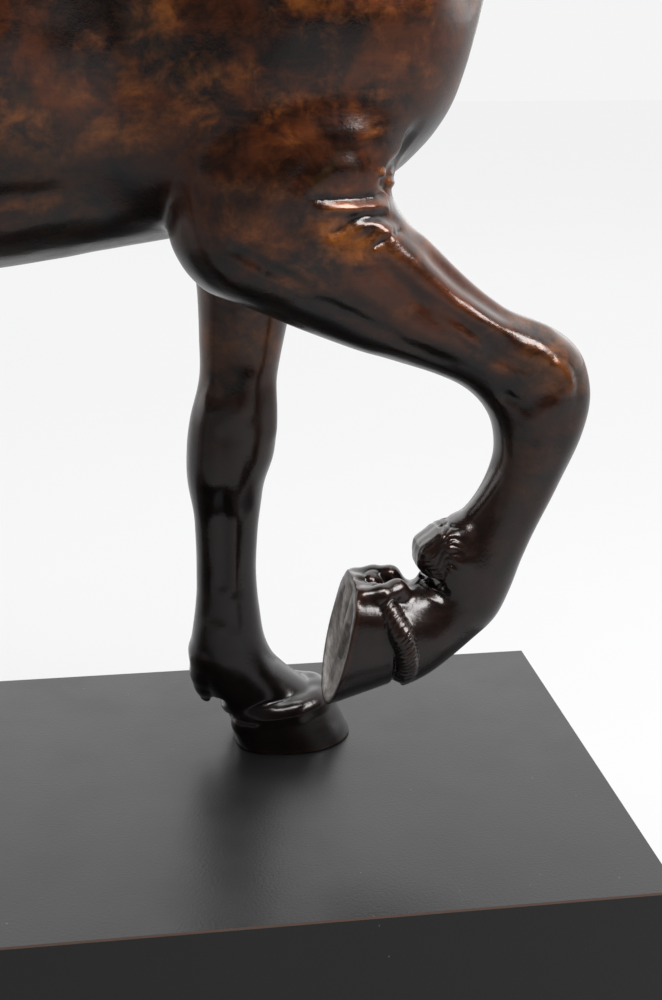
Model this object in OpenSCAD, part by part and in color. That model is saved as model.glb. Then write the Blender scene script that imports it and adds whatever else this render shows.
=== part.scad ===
// Bronze statuette of a walking horse on a black laminated plinth.
// The horse is cast in seven sections that meet in pinned spigot joints, and three of
// its hooves are bolted down through the plinth. The horse faces +X and its left is +Y.

/* [Horse] */
// Height of the withers above the plinth
withers_h = 315; // [300:5:325]
// Thickness of the cast bronze wall
wall_t = 5; // [4:0.5:6]
// Length of the spigot in each leg joint
spigot_l = 12; // [8:1:14]
// Radius of the spigot in each leg joint
spigot_r = 6; // [5:0.5:7]

/* [Plinth] */
// Length of the plinth
plinth_l = 430; // [430:5:480]
// Depth of the plinth, front to back
plinth_w = 165; // [160:5:200]
// Height of the plinth, felt included
plinth_h = 50; // [45:1:70]
// Thickness of the fibreboard
board_t = 18; // [16:1:18]
// Thickness of the laminate sheets
laminate_t = 0.8; // [0.6:0.1:1.2]
// Thickness of the felt under the plinth
felt_t = 1.5; // [1:0.5:3]
// Thickness of the plywood bottom cover
cover_t = 6; // [4:1:6]
// Side of the square corner blocks
block_w = 22; // [18:1:26]

/* [Fasteners] */
// Radius of the threaded studs in the hooves
stud_r = 3; // [2.5:0.5:4]
// Depth of the studs in the hooves
stud_grip = 12; // [8:1:14]
// Radius of the pins that lock the casting joints
pin_r = 1.5; // [1:0.25:2]
// Radius of the plugs in the core vents
plug_r = 3; // [2:0.5:4]
// Radius of the bottom cover's screws
screw_r = 1.75; // [1.5:0.25:2]
// Length of the bottom cover's screws
screw_l = 18; // [14:1:20]

/* [Detail] */
// Sides of a section through the body
body_sides = 32; // [24:4:36]
// Sides of a section through a leg
leg_sides = 18; // [14:2:20]

/* [Hidden] */
$fn = 48;

bronze = [0.24, 0.14, 0.10];
brass = [0.70, 0.55, 0.28];
steel = [0.66, 0.67, 0.69];
fibreboard = [0.60, 0.47, 0.33];
plywood = [0.78, 0.66, 0.47];
laminate = [0.11, 0.11, 0.12];
felt = [0.10, 0.20, 0.14];

// The sections below are drawn for withers of this height, in mm above the plinth.
drawn_withers_h = 315;
size = withers_h / drawn_withers_h;
fit_gap = 0.1;      // between a spigot or stud and its hole
collar_t = 2.5;     // wall of the collar on the neck
section_power = 0.88; // 1 is an ellipse, and less is squarer

// Each row is a section: first edge x z, second edge x z, half width, y of its middle.
// On a leg the first edge is the front and the second the back. On the tail the first is the
// inside, on the mane and the ears it is the side nearer the neck, and elsewhere it is the top.
torso_rows = [
    [-151, 256, -150, 236,  8, 0],
    [-146, 272, -144, 212, 22, 0],
    [-132, 289, -128, 192, 34, 0],
    [-110, 302, -104, 184, 41, 0],
    [ -82, 309,  -77, 181, 44, 0],
    [ -50, 306,  -50, 172, 44, 0],
    [ -20, 299,  -20, 164, 45, 0],
    [  10, 295,   12, 161, 46, 0],
    [  38, 298,   40, 164, 45, 0],
    [  60, 308,   66, 168, 42, 0],
    [  80, 315,   90, 172, 40, 0],
    [ 100, 314,  116, 176, 40, 0],
    [ 118, 304,  139, 184, 39, 0],
    [ 134, 292,  154, 196, 36, 0],
    [ 147, 280,  163, 213, 31, 0],
    [ 157, 268,  169, 232, 24, 0],
    [ 164, 260,  172, 248, 14, 0]
];
neck_rows = [
    [ 70, 308, 164, 240, 34, 0],
    [ 79, 320, 170, 257, 31, 0],
    [ 83, 336, 170, 273, 28, 0],
    [ 87, 353, 165, 289, 25, 0],
    [ 93, 369, 158, 304, 22, 0],
    [102, 384, 150, 319, 20, 0],
    [113, 395, 141, 332, 18, 0],
    [127, 403, 133, 343, 17, 0],
    [141, 406, 128, 352, 15, 0]
];
mane_rows = [
    [ 83, 351,  96, 336,  4, -13],
    [ 85, 361, 104, 338, 12, -16],
    [ 92, 379, 113, 350, 13, -15],
    [104, 395, 121, 361, 13, -13],
    [119, 406, 131, 369, 12, -11],
    [135, 411, 141, 379, 11,  -9],
    [149, 411, 149, 389,  9,  -6],
    [158, 408, 156, 397,  4,  -3]
];
ear_rows = [
    [147, 398, 157, 396, 4,  8],
    [146, 405, 158, 404, 5,  9],
    [148, 413, 159, 413, 5, 10],
    [152, 420, 159, 421, 3, 11],
    [157, 426, 159, 426, 1, 11]
];
// The head lies along +X here, from the poll at the origin to the muzzle, with its face up.
head_rows = [
    [ -8,   4,  -2, -22, 11, 0],
    [  3,   9,   6, -38, 17, 0],
    [ 16,  12,  17, -44, 20, 0],
    [ 30,  12,  31, -43, 20, 0],
    [ 44,  10,  43, -37, 18, 0],
    [ 58,   7,  56, -29, 14, 0],
    [ 72,   5,  69, -23, 12, 0],
    [ 86,   4,  83, -20, 11, 0],
    [ 98,   5,  95, -20, 12, 0],
    [108,   3, 105, -20, 12, 0],
    [114,  -2, 112, -19, 10, 0],
    [117,  -9, 115, -15,  5, 0]
];
tail_rows = [
    [-132, 266, -134, 286,  6, 0],
    [-142, 269, -149, 289,  9, 0],
    [-151, 264, -164, 282, 11, 0],
    [-158, 252, -176, 264, 13, 0],
    [-162, 234, -183, 241, 14, 0],
    [-164, 210, -187, 214, 15, 0],
    [-166, 183, -189, 186, 15, 0],
    [-169, 156, -190, 158, 14, 0],
    [-173, 132, -190, 134, 11, 0],
    [-178, 113, -189, 114,  7, 0],
    [-183, 101, -187, 101,  2, 0]
];
raised_fore_rows = [
    [128, 228,  86, 215, 13, -22],
    [142, 204,  84, 190, 17, -25],
    [139, 187,  86, 172, 18, -26],
    [145, 178,  92, 162, 18, -27],
    [153, 171, 102, 156, 17, -27],
    [163, 162, 117, 149, 15, -26],
    [173, 154, 132, 143, 14, -26],
    [182, 150, 147, 138, 13, -25],
    [191, 146, 160, 133, 13, -25],
    [197, 140, 168, 127, 13, -25],
    [200, 130, 172, 120, 13, -25],
    [199, 121, 173, 114, 13, -25],
    [196, 112, 173, 110, 12, -25],
    [192, 102, 171, 104, 10, -25],
    [188,  93, 167,  97,  9, -25],
    [185,  86, 162,  92,  9, -25],
    [182,  79, 156,  88, 10, -25],
    [180,  73, 150,  83, 11, -25],
    [178,  68, 152,  77, 11, -25],
    [175,  62, 153,  73, 11, -25],
    [170,  57, 150,  72, 11, -25],
    [164,  52, 146,  72, 12, -25],
    [156,  46, 143,  72, 14, -25],
    [148,  42, 142,  73, 15, -25],
    [137,  39, 137,  75, 16, -25],
    [125,  36, 132,  78, 17, -25]
];
standing_fore_rows = [
    [128, 222,  86, 232, 13, 22],
    [131, 200,  88, 206, 16, 25],
    [128, 180,  90, 186, 17, 26],
    [125, 162,  91, 168, 16, 27],
    [121, 147,  92, 151, 14, 27],
    [118, 133,  92, 136, 12, 27],
    [116, 123,  92, 125, 12, 27],
    [116, 116,  90, 117, 13, 27],
    [116, 109,  88, 109, 13, 27],
    [115,  99,  87,  99, 13, 27],
    [112,  91,  87,  91, 12, 27],
    [111,  83,  88,  84, 10, 28],
    [110,  77,  89,  77,  9, 28],
    [109,  65,  89,  65,  9, 28],
    [109,  54,  89,  54,  9, 28],
    [110,  44,  88,  44, 10, 28],
    [111,  36,  87,  37, 11, 28],
    [114,  29,  87,  28, 12, 28],
    [119,  23,  90,  20, 12, 28],
    [125,  18,  94,  14, 12, 28],
    [130,  13,  97,  10, 14, 28],
    [135,   8,  99,   6, 16, 28],
    [138,   4, 100,   3, 16, 28],
    [140,   0, 101,   0, 17, 28]
];
right_hind_rows = [
    [ -68, 270, -136, 264, 14, -20],
    [ -58, 240, -146, 240, 23, -22],
    [ -52, 212, -144, 214, 25, -24],
    [ -52, 192, -134, 192, 24, -25],
    [ -60, 174, -125, 173, 20, -25],
    [ -71, 157, -119, 153, 16, -25],
    [ -80, 142, -117, 139, 13, -25],
    [ -85, 131, -120, 131, 11, -25],
    [ -86, 121, -116, 120, 11, -25],
    [ -85, 109, -108, 107, 10, -25],
    [ -86,  96, -105,  95,  9, -25],
    [ -86,  80, -104,  79,  8, -25],
    [ -85,  62, -102,  61,  8, -25],
    [ -82,  48, -102,  47,  9, -25],
    [ -78,  38, -102,  36, 11, -25],
    [ -73,  30,  -99,  27, 11, -25],
    [ -66,  23,  -91,  19, 11, -25],
    [ -58,  15,  -87,  11, 14, -25],
    [ -53,   7,  -88,   5, 15, -25],
    [ -49,   0,  -88,   0, 16, -25]
];
left_hind_rows = [
    [ -68, 270, -136, 264, 14, 20],
    [ -61, 240, -147, 240, 23, 22],
    [ -64, 214, -148, 215, 25, 24],
    [ -72, 194, -143, 195, 24, 25],
    [ -84, 177, -140, 177, 20, 25],
    [ -98, 162, -141, 158, 16, 25],
    [-111, 149, -145, 144, 13, 25],
    [-121, 139, -152, 136, 11, 25],
    [-125, 129, -153, 125, 11, 25],
    [-128, 116, -149, 111, 10, 25],
    [-133, 103, -151,  99,  9, 25],
    [-140,  87, -156,  83,  8, 25],
    [-147,  68, -163,  64,  8, 25],
    [-151,  53, -169,  50,  9, 25],
    [-151,  42, -174,  39, 11, 25],
    [-148,  33, -173,  29, 11, 25],
    [-144,  24, -168,  20, 11, 25],
    [-139,  15, -166,  11, 14, 25],
    [-136,   7, -168,   5, 15, 25],
    [-134,   0, -170,   0, 16, 25]
];
// Swellings and hollows on both sides of the torso: x, z, reach along x, reach along z, height.
torso_muscles = [
    [ 112, 226,  24,  34,  5],
    [  98, 200,  16,  18,  3],
    [ 146, 236,  14,  20,  4],
    [  62, 188,  10,  22, -3],
    [ -96, 252,  34,  30,  4],
    [ -58, 232,  12,  26, -4],
    [ -62, 286,  12,  10,  3]
];

// The row at which each casting leaves the body's.
raised_fore_cut = 5;
standing_fore_cut = 3;
hind_cut = 5;
neck_cut = 2;
tail_cut = 1;
rings_per_row = 2;
neck_cut_ring = neck_cut * rings_per_row;
collar_rings = 2;    // rings of the neck that the collar reaches below the cut

// The legs in order: right fore, left fore, right hind, left hind.
leg_rows = [raised_fore_rows, standing_fore_rows, right_hind_rows, left_hind_rows];
leg_cuts = [raised_fore_cut, standing_fore_cut, hind_cut, hind_cut];
legs = [0 : 3];
hollow_first_row = 3;
hollow_last_row = 13;
neck_core_last_row = 6;
poll = size * [153, 397];
head_angle = 64; // below the horizontal
tail_spigot_l = 9;
tail_spigot_r = 4;
pin_recess = 1;    // from a pin's end to the skin
through_skin = -3; // the recess of a pin's hole, which runs out past the skin
pin_past_collar = 3;
over = 1;          // how far a cut or a joined shape runs past a face
pin_spread = 18; // between the neck's two pins on one side, from its middle
vent_places = size * [-20, 45]; // along the belly
vent_skin_z = size * 165; // the belly's height there
vent_plug_l = 9;

// The studs stand under the three hooves that are on the plinth: left fore, right hind, left hind.
stud_places = size * [[118, 28], [-70, -25], [-154, 25]];

box_l = plinth_l - 2 * laminate_t;
box_w = plinth_w - 2 * laminate_t;
board_top = plinth_h - laminate_t;
board_bottom = board_top - board_t;
rail_h = board_bottom - felt_t;
inner_l = box_l - 2 * board_t;
inner_w = box_w - 2 * board_t;
cover_gap = 0.5;
cover_top = felt_t + cover_t;
felt_margin = 2;
washer_r = 6.2;
washer_t = 1.6;
nut_h = 5;
nut_corner_r = 5.8;
spring_washer_r = 5.4;
stud_tip = 2;
stud_hole_gap = 0.3;
screw_head_r = 3.6;
screw_head_h = 2;

function clamped(rows, i) = rows[min(max(i, 0), len(rows) - 1)];

// A value on the smooth curve from b to c, whose neighbours are a and d.
function on_curve(a, b, c, d, u) =
    b + u / 2 * ((c - a) + u * ((2 * a - 5 * b + 4 * c - d) + u * (3 * b - a - 3 * c + d)));

// The rows with more rows between them, on smooth curves, at the horse's real size.
function sections(rows) = size * [
    for (i = [0 : len(rows) - 2])
        for (k = [0 : rings_per_row - 1])
            on_curve(clamped(rows, i - 1), rows[i], rows[i + 1], clamped(rows, i + 2), k / rings_per_row),
    rows[len(rows) - 1]
];

function part_of(rows, first, last) = [for (i = [first : last]) rows[i]];

// The sections before and after a cut, and the section at the cut.
function before(rows, cut) = part_of(sections(rows), 0, cut * rings_per_row);
function after(rows, cut) = part_of(sections(rows), cut * rings_per_row, (len(rows) - 1) * rings_per_row);
function at_cut(rows, cut) = size * rows[cut];

// The same sections, moved in by t on all sides.
function inset(rows, t) = [
    for (r = rows)
        let (edge = [r[0] - r[2], r[1] - r[3]], u = t * edge / norm(edge))
        [r[0] - u.x, r[1] - u.y, r[2] + u.x, r[3] + u.y, r[4] - t, r[5]]
];

function squared(v) = sign(v) * pow(abs(v), section_power);

// How far the muscles stand out at a place on the side.
function swelling(muscles, x, z) = len(muscles) == 0 ? 0 : [
    for (m = muscles)
        m[4] * size * exp(-pow((x / size - m[0]) / m[2], 2) - pow((z / size - m[1]) / m[3], 2))
] * [for (m = muscles) 1];

// One section as points.
function ring(row, sides, muscles) =
    let (middle = [row[0] + row[2], row[1] + row[3]] / 2, arm = [row[0] - row[2], row[1] - row[3]] / 2)
    [
        for (k = [0 : sides - 1])
            let (
                along = squared(cos(360 * k / sides)),
                across = squared(sin(360 * k / sides)),
                p = middle + along * arm
            )
            [p.x, row[5] + across * (row[4] + swelling(muscles, p.x, p.y)), p.y]
    ];

// A closed skin through the rows' sections.
module loft(rows, sides, muscles = []) {
    last_ring = (len(rows) - 1) * sides;
    sleeve = [
        for (start = [0 : sides : last_ring - 1])
            for (k = [0 : sides - 1])
                let (a = start + k, b = start + (k + 1) % sides)
                each [[a, b, b + sides], [a, b + sides, a + sides]]
    ];
    first_cap = [for (k = [0 : sides - 1]) sides - 1 - k];
    last_cap = [for (k = [0 : sides - 1]) last_ring + k];
    polyhedron(
        points = [for (r = rows) each ring(r, sides, muscles)],
        faces = concat(sleeve, [first_cap, last_cap])
    );
}

// Turns its children's skins into one mesh without changing their size.
module one_mesh() {
    resize([0, 0, 0])
        union()
            children();
}

// Moves its children to a section's middle, with +X to the first edge and +Z square to it.
module at_section(row) {
    translate([(row[0] + row[2]) / 2, row[5], (row[1] + row[3]) / 2])
        rotate([0, -atan2(row[1] - row[3], row[0] - row[2]), 0])
            children();
}

module on_plinth() {
    translate([0, 0, plinth_h])
        children();
}

module at_studs() {
    for (p = stud_places)
        translate([p.x, p.y, 0])
            children();
}

// A pin or its hole, across the joint above a section, ending short of the skin by recess.
module cross_pin(row, height, recess) {
    at_section(row)
        translate([0, 0, height])
            rotate([90, 0, 0])
                cylinder(r = pin_r, h = 2 * (row[4] - recess), center = true);
}

// The neck's pins or their holes: two on each side, through the wall and the collar.
module neck_pins(recess) {
    row = sections(neck_rows)[neck_cut_ring - 1];
    for (side = [-1, 1], along = [-pin_spread, pin_spread])
        at_section(row)
            translate([along, side * (row[4] - recess), 0])
                rotate([side * 90, 0, 0])
                    cylinder(r = pin_r, h = wall_t + collar_t + pin_past_collar);
}

module leg_pins(recess) {
    for (i = legs)
        cross_pin(at_cut(leg_rows[i], leg_cuts[i]), spigot_l / 2, recess);
}

module vents(top, bottom) {
    for (x = vent_places)
        translate([x, 0, bottom])
            cylinder(r = plug_r, h = top - bottom);
}

module body_skin() {
    loft(sections(torso_rows), body_sides, torso_muscles);
    loft(before(neck_rows, neck_cut), body_sides);
    loft(before(tail_rows, tail_cut), leg_sides);
    for (i = legs)
        loft(before(leg_rows[i], leg_cuts[i]), leg_sides);
}

module body_hollow() {
    core = part_of(sections(torso_rows), hollow_first_row * rings_per_row, hollow_last_row * rings_per_row);
    loft(inset(core, wall_t), leg_sides);
    loft(inset(part_of(sections(neck_rows), 0, neck_cut_ring + 1), wall_t), leg_sides);
}

module body_casting() {
    color(bronze)
        on_plinth()
            difference() {
                one_mesh()
                    difference() {
                        body_skin();
                        body_hollow();
                    }
                for (i = legs)
                    at_section(at_cut(leg_rows[i], leg_cuts[i]))
                        translate([0, 0, -over])
                            cylinder(r = spigot_r + fit_gap, h = spigot_l + 2 * over);
                at_section(at_cut(tail_rows, tail_cut))
                    translate([0, 0, -over])
                        cylinder(r = tail_spigot_r + fit_gap, h = tail_spigot_l + 2 * over);
                leg_pins(through_skin);
                cross_pin(at_cut(tail_rows, tail_cut), tail_spigot_l / 2, through_skin);
                neck_pins(through_skin);
                vents(vent_skin_z + 3 * wall_t, vent_skin_z - 2 * wall_t);
            }
}

module neck_core() {
    first = neck_cut_ring - collar_rings - 1;
    core = part_of(sections(neck_rows), first, neck_core_last_row * rings_per_row);
    loft(inset(core, wall_t + collar_t), leg_sides);
}

module neck_collar() {
    collar = part_of(sections(neck_rows), neck_cut_ring - collar_rings, neck_cut_ring + 1);
    loft(inset(collar, wall_t + fit_gap), leg_sides);
}

module head() {
    translate([poll.x, 0, poll.y])
        rotate([0, head_angle, 0])
            loft(sections(head_rows), body_sides);
}

module neck_and_head_casting() {
    color(bronze)
        on_plinth()
            difference() {
                one_mesh()
                    difference() {
                        union() {
                            loft(after(neck_rows, neck_cut), body_sides);
                            neck_collar();
                            loft(sections(mane_rows), leg_sides);
                            head();
                            for (side = [0, 1])
                                mirror([0, side, 0])
                                    loft(sections(ear_rows), leg_sides);
                        }
                        neck_core();
                    }
                neck_pins(through_skin);
            }
}

module tail_casting() {
    color(bronze)
        on_plinth()
            difference() {
                union() {
                    loft(after(tail_rows, tail_cut), leg_sides);
                    at_section(at_cut(tail_rows, tail_cut))
                        translate([0, 0, -over])
                            cylinder(r = tail_spigot_r, h = tail_spigot_l + over);
                }
                cross_pin(at_cut(tail_rows, tail_cut), tail_spigot_l / 2, through_skin);
            }
}

// A leg from its cut down, with the spigot above it.
module leg_casting(i) {
    row = at_cut(leg_rows[i], leg_cuts[i]);
    color(bronze)
        on_plinth()
            difference() {
                union() {
                    loft(after(leg_rows[i], leg_cuts[i]), leg_sides);
                    at_section(row)
                        translate([0, 0, -over])
                            cylinder(r = spigot_r, h = spigot_l + over);
                }
                cross_pin(row, spigot_l / 2, through_skin);
                if (i > 0)
                    translate([stud_places[i - 1].x, stud_places[i - 1].y, -over])
                        cylinder(r = stud_r, h = stud_grip + over);
            }
}

module right_foreleg_casting() {
    leg_casting(0);
}

module left_foreleg_casting() {
    leg_casting(1);
}

module right_hind_leg_casting() {
    leg_casting(2);
}

module left_hind_leg_casting() {
    leg_casting(3);
}

module leg_joint_pins() {
    color(brass)
        on_plinth()
            leg_pins(pin_recess);
}

module neck_joint_pins() {
    color(brass)
        on_plinth()
            neck_pins(pin_recess);
}

module tail_joint_pin() {
    color(brass)
        on_plinth()
            cross_pin(at_cut(tail_rows, tail_cut), tail_spigot_l / 2, pin_recess);
}

module core_vent_plugs() {
    color(brass)
        on_plinth()
            vents(vent_skin_z + vent_plug_l, vent_skin_z + pin_recess);
}

module hoof_studs() {
    color(steel)
        translate([0, 0, board_bottom - 2 * washer_t - nut_h - stud_tip])
            at_studs()
                cylinder(
                    r = stud_r,
                    h = stud_grip + laminate_t + board_t + 2 * washer_t + nut_h + stud_tip
                );
}

// A ring under the top board at each stud, with its top at z.
module washers(r, z) {
    translate([0, 0, z - washer_t])
        at_studs()
            difference() {
                cylinder(r = r, h = washer_t);
                translate([0, 0, -over])
                    cylinder(r = stud_r + fit_gap, h = washer_t + 2 * over);
            }
}

module stud_washers() {
    color(steel)
        washers(washer_r, board_bottom);
}

module stud_spring_washers() {
    color(steel)
        washers(spring_washer_r, board_bottom - washer_t);
}

module stud_nuts() {
    color(steel)
        translate([0, 0, board_bottom - 2 * washer_t - nut_h])
            at_studs()
                difference() {
                    cylinder(r = nut_corner_r, h = nut_h, $fn = 6);
                    translate([0, 0, -over])
                        cylinder(r = stud_r, h = nut_h + 2 * over);
                }
}

// A block centred on x and y, standing on z.
module block(sides, at) {
    translate([at.x - sides.x / 2, at.y - sides.y / 2, at.z])
        cube(sides);
}

module at_corners(x, y) {
    for (sx = [-1, 1], sy = [-1, 1])
        translate([sx * x, sy * y, 0])
            children();
}

module stud_holes(bottom, height) {
    translate([0, 0, bottom - over])
        at_studs()
            cylinder(r = stud_r + stud_hole_gap, h = height + 2 * over);
}

module plinth_top_board() {
    color(fibreboard)
        difference() {
            block([box_l, box_w, board_t], [0, 0, board_bottom]);
            stud_holes(board_bottom, board_t);
        }
}

module long_rail(side) {
    color(fibreboard)
        block([box_l, board_t, rail_h], [0, side * (box_w - board_t) / 2, felt_t]);
}

module end_rail(side) {
    color(fibreboard)
        block([board_t, inner_w, rail_h], [side * (box_l - board_t) / 2, 0, felt_t]);
}

module plinth_front_rail() {
    long_rail(-1);
}

module plinth_back_rail() {
    long_rail(1);
}

module plinth_left_end() {
    end_rail(-1);
}

module plinth_right_end() {
    end_rail(1);
}

module screw_holes(r, bottom, height) {
    translate([0, 0, bottom])
        at_corners((inner_l - block_w) / 2, (inner_w - block_w) / 2)
            cylinder(r = r, h = height);
}

module corner_blocks() {
    color(fibreboard)
        difference() {
            at_corners((inner_l - block_w) / 2, (inner_w - block_w) / 2)
                block([block_w, block_w, board_bottom - cover_top], [0, 0, cover_top]);
            screw_holes(screw_r, cover_top - over, screw_l - cover_t + over);
        }
}

module bottom_cover() {
    color(plywood)
        difference() {
            block([inner_l - 2 * cover_gap, inner_w - 2 * cover_gap, cover_t], [0, 0, felt_t]);
            screw_holes(screw_r, felt_t - over, cover_t + 2 * over);
            screw_holes(screw_head_r, felt_t - over, screw_head_h + over);
        }
}

module cover_screws() {
    color(steel) {
        screw_holes(screw_r, felt_t, screw_l);
        screw_holes(screw_head_r, felt_t, screw_head_h);
    }
}

module laminate_top() {
    color(laminate)
        difference() {
            block([plinth_l, plinth_w, laminate_t], [0, 0, board_top]);
            stud_holes(board_top, laminate_t);
        }
}

module long_laminate(side) {
    color(laminate)
        block([plinth_l, laminate_t, board_top - felt_t], [0, side * (plinth_w - laminate_t) / 2, felt_t]);
}

module end_laminate(side) {
    color(laminate)
        block([laminate_t, box_w, board_top - felt_t], [side * (plinth_l - laminate_t) / 2, 0, felt_t]);
}

module laminate_front() {
    long_laminate(-1);
}

module laminate_back() {
    long_laminate(1);
}

module laminate_left() {
    end_laminate(-1);
}

module laminate_right() {
    end_laminate(1);
}

module base_felt() {
    color(felt)
        block([plinth_l - 2 * felt_margin, plinth_w - 2 * felt_margin, felt_t], [0, 0, 0]);
}

body_casting();
neck_and_head_casting();
tail_casting();
right_foreleg_casting();
left_foreleg_casting();
right_hind_leg_casting();
left_hind_leg_casting();
leg_joint_pins();
neck_joint_pins();
tail_joint_pin();
core_vent_plugs();
hoof_studs();
stud_washers();
stud_spring_washers();
stud_nuts();
plinth_top_board();
plinth_front_rail();
plinth_back_rail();
plinth_left_end();
plinth_right_end();
corner_blocks();
bottom_cover();
cover_screws();
laminate_top();
laminate_front();
laminate_back();
laminate_left();
laminate_right();
base_felt();
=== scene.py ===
"""The looks of a bronze horse on a black laminated plinth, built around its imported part.

The castings' skins are grown from the part's own castings as signed distance fields, which
round their joints, and are then modelled further with strokes, locks of hair and hooves.
Lengths are in mm until a mesh is made, and heights are above the plinth's top.
"""
import math

import bmesh
import bpy
import numpy as np
import openvdb as vdb
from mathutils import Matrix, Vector


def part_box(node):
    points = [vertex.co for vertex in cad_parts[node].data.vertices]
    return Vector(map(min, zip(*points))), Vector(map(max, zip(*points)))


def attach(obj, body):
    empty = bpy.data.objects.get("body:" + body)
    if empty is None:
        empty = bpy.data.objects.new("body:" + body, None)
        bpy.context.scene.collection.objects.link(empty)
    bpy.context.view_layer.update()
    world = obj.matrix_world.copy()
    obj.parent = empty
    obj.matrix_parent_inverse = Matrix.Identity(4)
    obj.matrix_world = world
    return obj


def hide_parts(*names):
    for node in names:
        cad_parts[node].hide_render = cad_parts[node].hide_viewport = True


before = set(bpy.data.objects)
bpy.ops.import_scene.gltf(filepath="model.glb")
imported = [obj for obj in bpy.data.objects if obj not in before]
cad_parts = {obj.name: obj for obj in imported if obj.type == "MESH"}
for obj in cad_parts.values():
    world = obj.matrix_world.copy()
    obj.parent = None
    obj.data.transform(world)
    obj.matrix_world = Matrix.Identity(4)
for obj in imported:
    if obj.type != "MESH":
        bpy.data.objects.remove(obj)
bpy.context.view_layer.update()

MM = 0.001
PLINTH_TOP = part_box("laminate_top")[1][2] / MM
STEP = 1.4  # spacing of the whole horse's field
BAND = 11.0  # reach of the distances on each side of the skin
TIGHT_FILL, WIDE_FILL = 2.5, 9.0  # hollows tighter than these are filled, all over and at joints
SOFT, SOFTER = 1.5, 3.6  # how far the skin is smoothed, all over and on the trunk
TOOL_MARK_WIDTH, TOOL_MARK_HEIGHT = 3.2, 0.05

CASTINGS = [
    "body_casting", "neck_and_head_casting", "tail_casting", "right_foreleg_casting",
    "left_foreleg_casting", "right_hind_leg_casting", "left_hind_leg_casting",
]
FILLERS = ["leg_joint_pins", "neck_joint_pins", "tail_joint_pin", "core_vent_plugs"]


# ---------------------------------------------------------------- fields

class Field:
    """Signed distances from a skin on a regular grid, negative inside."""

    def __init__(self, low, high, step, fill=BAND):
        self.step = step
        self.first = np.floor(np.array(low) / step).astype(int)
        size = np.ceil(np.array(high) / step).astype(int) - self.first + 1
        self.values = np.full(size, fill, np.float32)

    def copy(self):
        other = Field((0, 0, 0), (0, 0, 0), self.step)
        other.first = self.first
        other.values = self.values.copy()
        return other

    def axes(self, low=(0, 0, 0), high=None):
        """The x, y and z of the cells between two corners, shaped to broadcast."""
        high = high or self.values.shape
        lines = [(self.first[k] + np.arange(low[k], high[k])) * self.step for k in range(3)]
        return np.meshgrid(*lines, indexing="ij", sparse=True)

    def window(self, low, high):
        """A view of the part between two corners: slices, and its x, y and z."""
        a = np.clip(np.floor(np.array(low) / self.step).astype(int) - self.first, 0, None)
        b = np.ceil(np.array(high) / self.step).astype(int) - self.first + 1
        cut = tuple(slice(a[k], max(min(b[k], self.values.shape[k]), a[k])) for k in range(3))
        return cut, self.axes([part.start for part in cut], [part.stop for part in cut])


def spacing(step):
    return vdb.createLinearTransform(voxelSize=step)


def field_of_mesh(points, faces, room):
    """The field of a closed mesh of triangles or quads, on the same grid as another field."""
    kind = "triangles" if faces.shape[1] == 3 else "quads"
    grid = vdb.FloatGrid.createLevelSetFromPolygons(
        points.astype(np.float32),
        **{kind: faces.astype(np.uint32)},
        transform=spacing(room.step),
        halfWidth=BAND / room.step,
    )
    field = room.copy()
    grid.copyToArray(field.values, ijk=tuple(int(i) for i in field.first))
    return field


def mesh_of_field(field, level=0.0):
    """The quads of the surface where a field is at a level, less any inner shells."""
    grid = vdb.FloatGrid(BAND)
    grid.copyFromArray(field.values, ijk=tuple(int(i) for i in field.first))
    grid.transform = spacing(field.step)
    points, _, quads = grid.convertToPolygons(level, 0.0)
    return largest_shell(points.astype(np.float64), quads.astype(np.int64))


def shell_labels(count, faces):
    """The lowest vertex of each vertex's shell."""
    labels = np.arange(count)
    a = faces.ravel()
    b = np.roll(faces, -1, axis=1).ravel()
    while True:
        lowest = np.minimum(labels[a], labels[b])
        new = labels.copy()
        np.minimum.at(new, labels[a], lowest)
        np.minimum.at(new, labels[b], lowest)
        while (new != new[new]).any():
            new = new[new]
        if (new == labels).all():
            return labels
        labels = new


def largest_shell(points, faces):
    labels = shell_labels(len(points), faces)
    names, counts = np.unique(labels, return_counts=True)
    kept = labels == names[counts.argmax()]
    renumber = np.cumsum(kept) - 1
    return points[kept], renumber[faces[kept[faces[:, 0]]]]


def smooth_min(a, b, reach):
    """The lesser of two distances, with the crease between them filled."""
    h = np.clip(0.5 + 0.5 * (b - a) / reach, 0, 1)
    return b + (a - b) * h - reach * h * (1 - h)


def ramp(x, start, end):
    """From 0 at start to 1 at end, smoothly."""
    t = np.clip((x - start) / (end - start), 0, 1)
    return t * t * (3 - 2 * t)


def blurred(values, sigma):
    """Values blurred by sigma cells."""
    reach = int(math.ceil(sigma * 2.5))
    weights = np.exp(-0.5 * (np.arange(-reach, reach + 1) / sigma) ** 2)
    weights = (weights / weights.sum()).astype(np.float32)
    for axis in range(3):
        padding = [(reach, reach) if k == axis else (0, 0) for k in range(3)]
        padded = np.pad(values, padding, mode="edge")
        out = np.zeros_like(values)
        for k, weight in enumerate(weights):
            cut = [slice(None)] * 3
            cut[axis] = slice(k, k + values.shape[axis])
            out += weight * padded[tuple(cut)]
        values = out
    return values


def spline_weights(t):
    """The shares of four neighbours in a cubic spline, t past the second of them."""
    inner = [3 * t**3 - 6 * t**2 + 4, -3 * t**3 + 3 * t**2 + 3 * t + 1]
    return [part / 6 for part in ((1 - t) ** 3, *inner, t**3)]


def spline_slopes(t):
    """How fast those shares change."""
    return [-(1 - t) ** 2 / 2, (3 * t**2 - 4 * t) / 2, (-3 * t**2 + 2 * t + 1) / 2, t**2 / 2]


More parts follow.
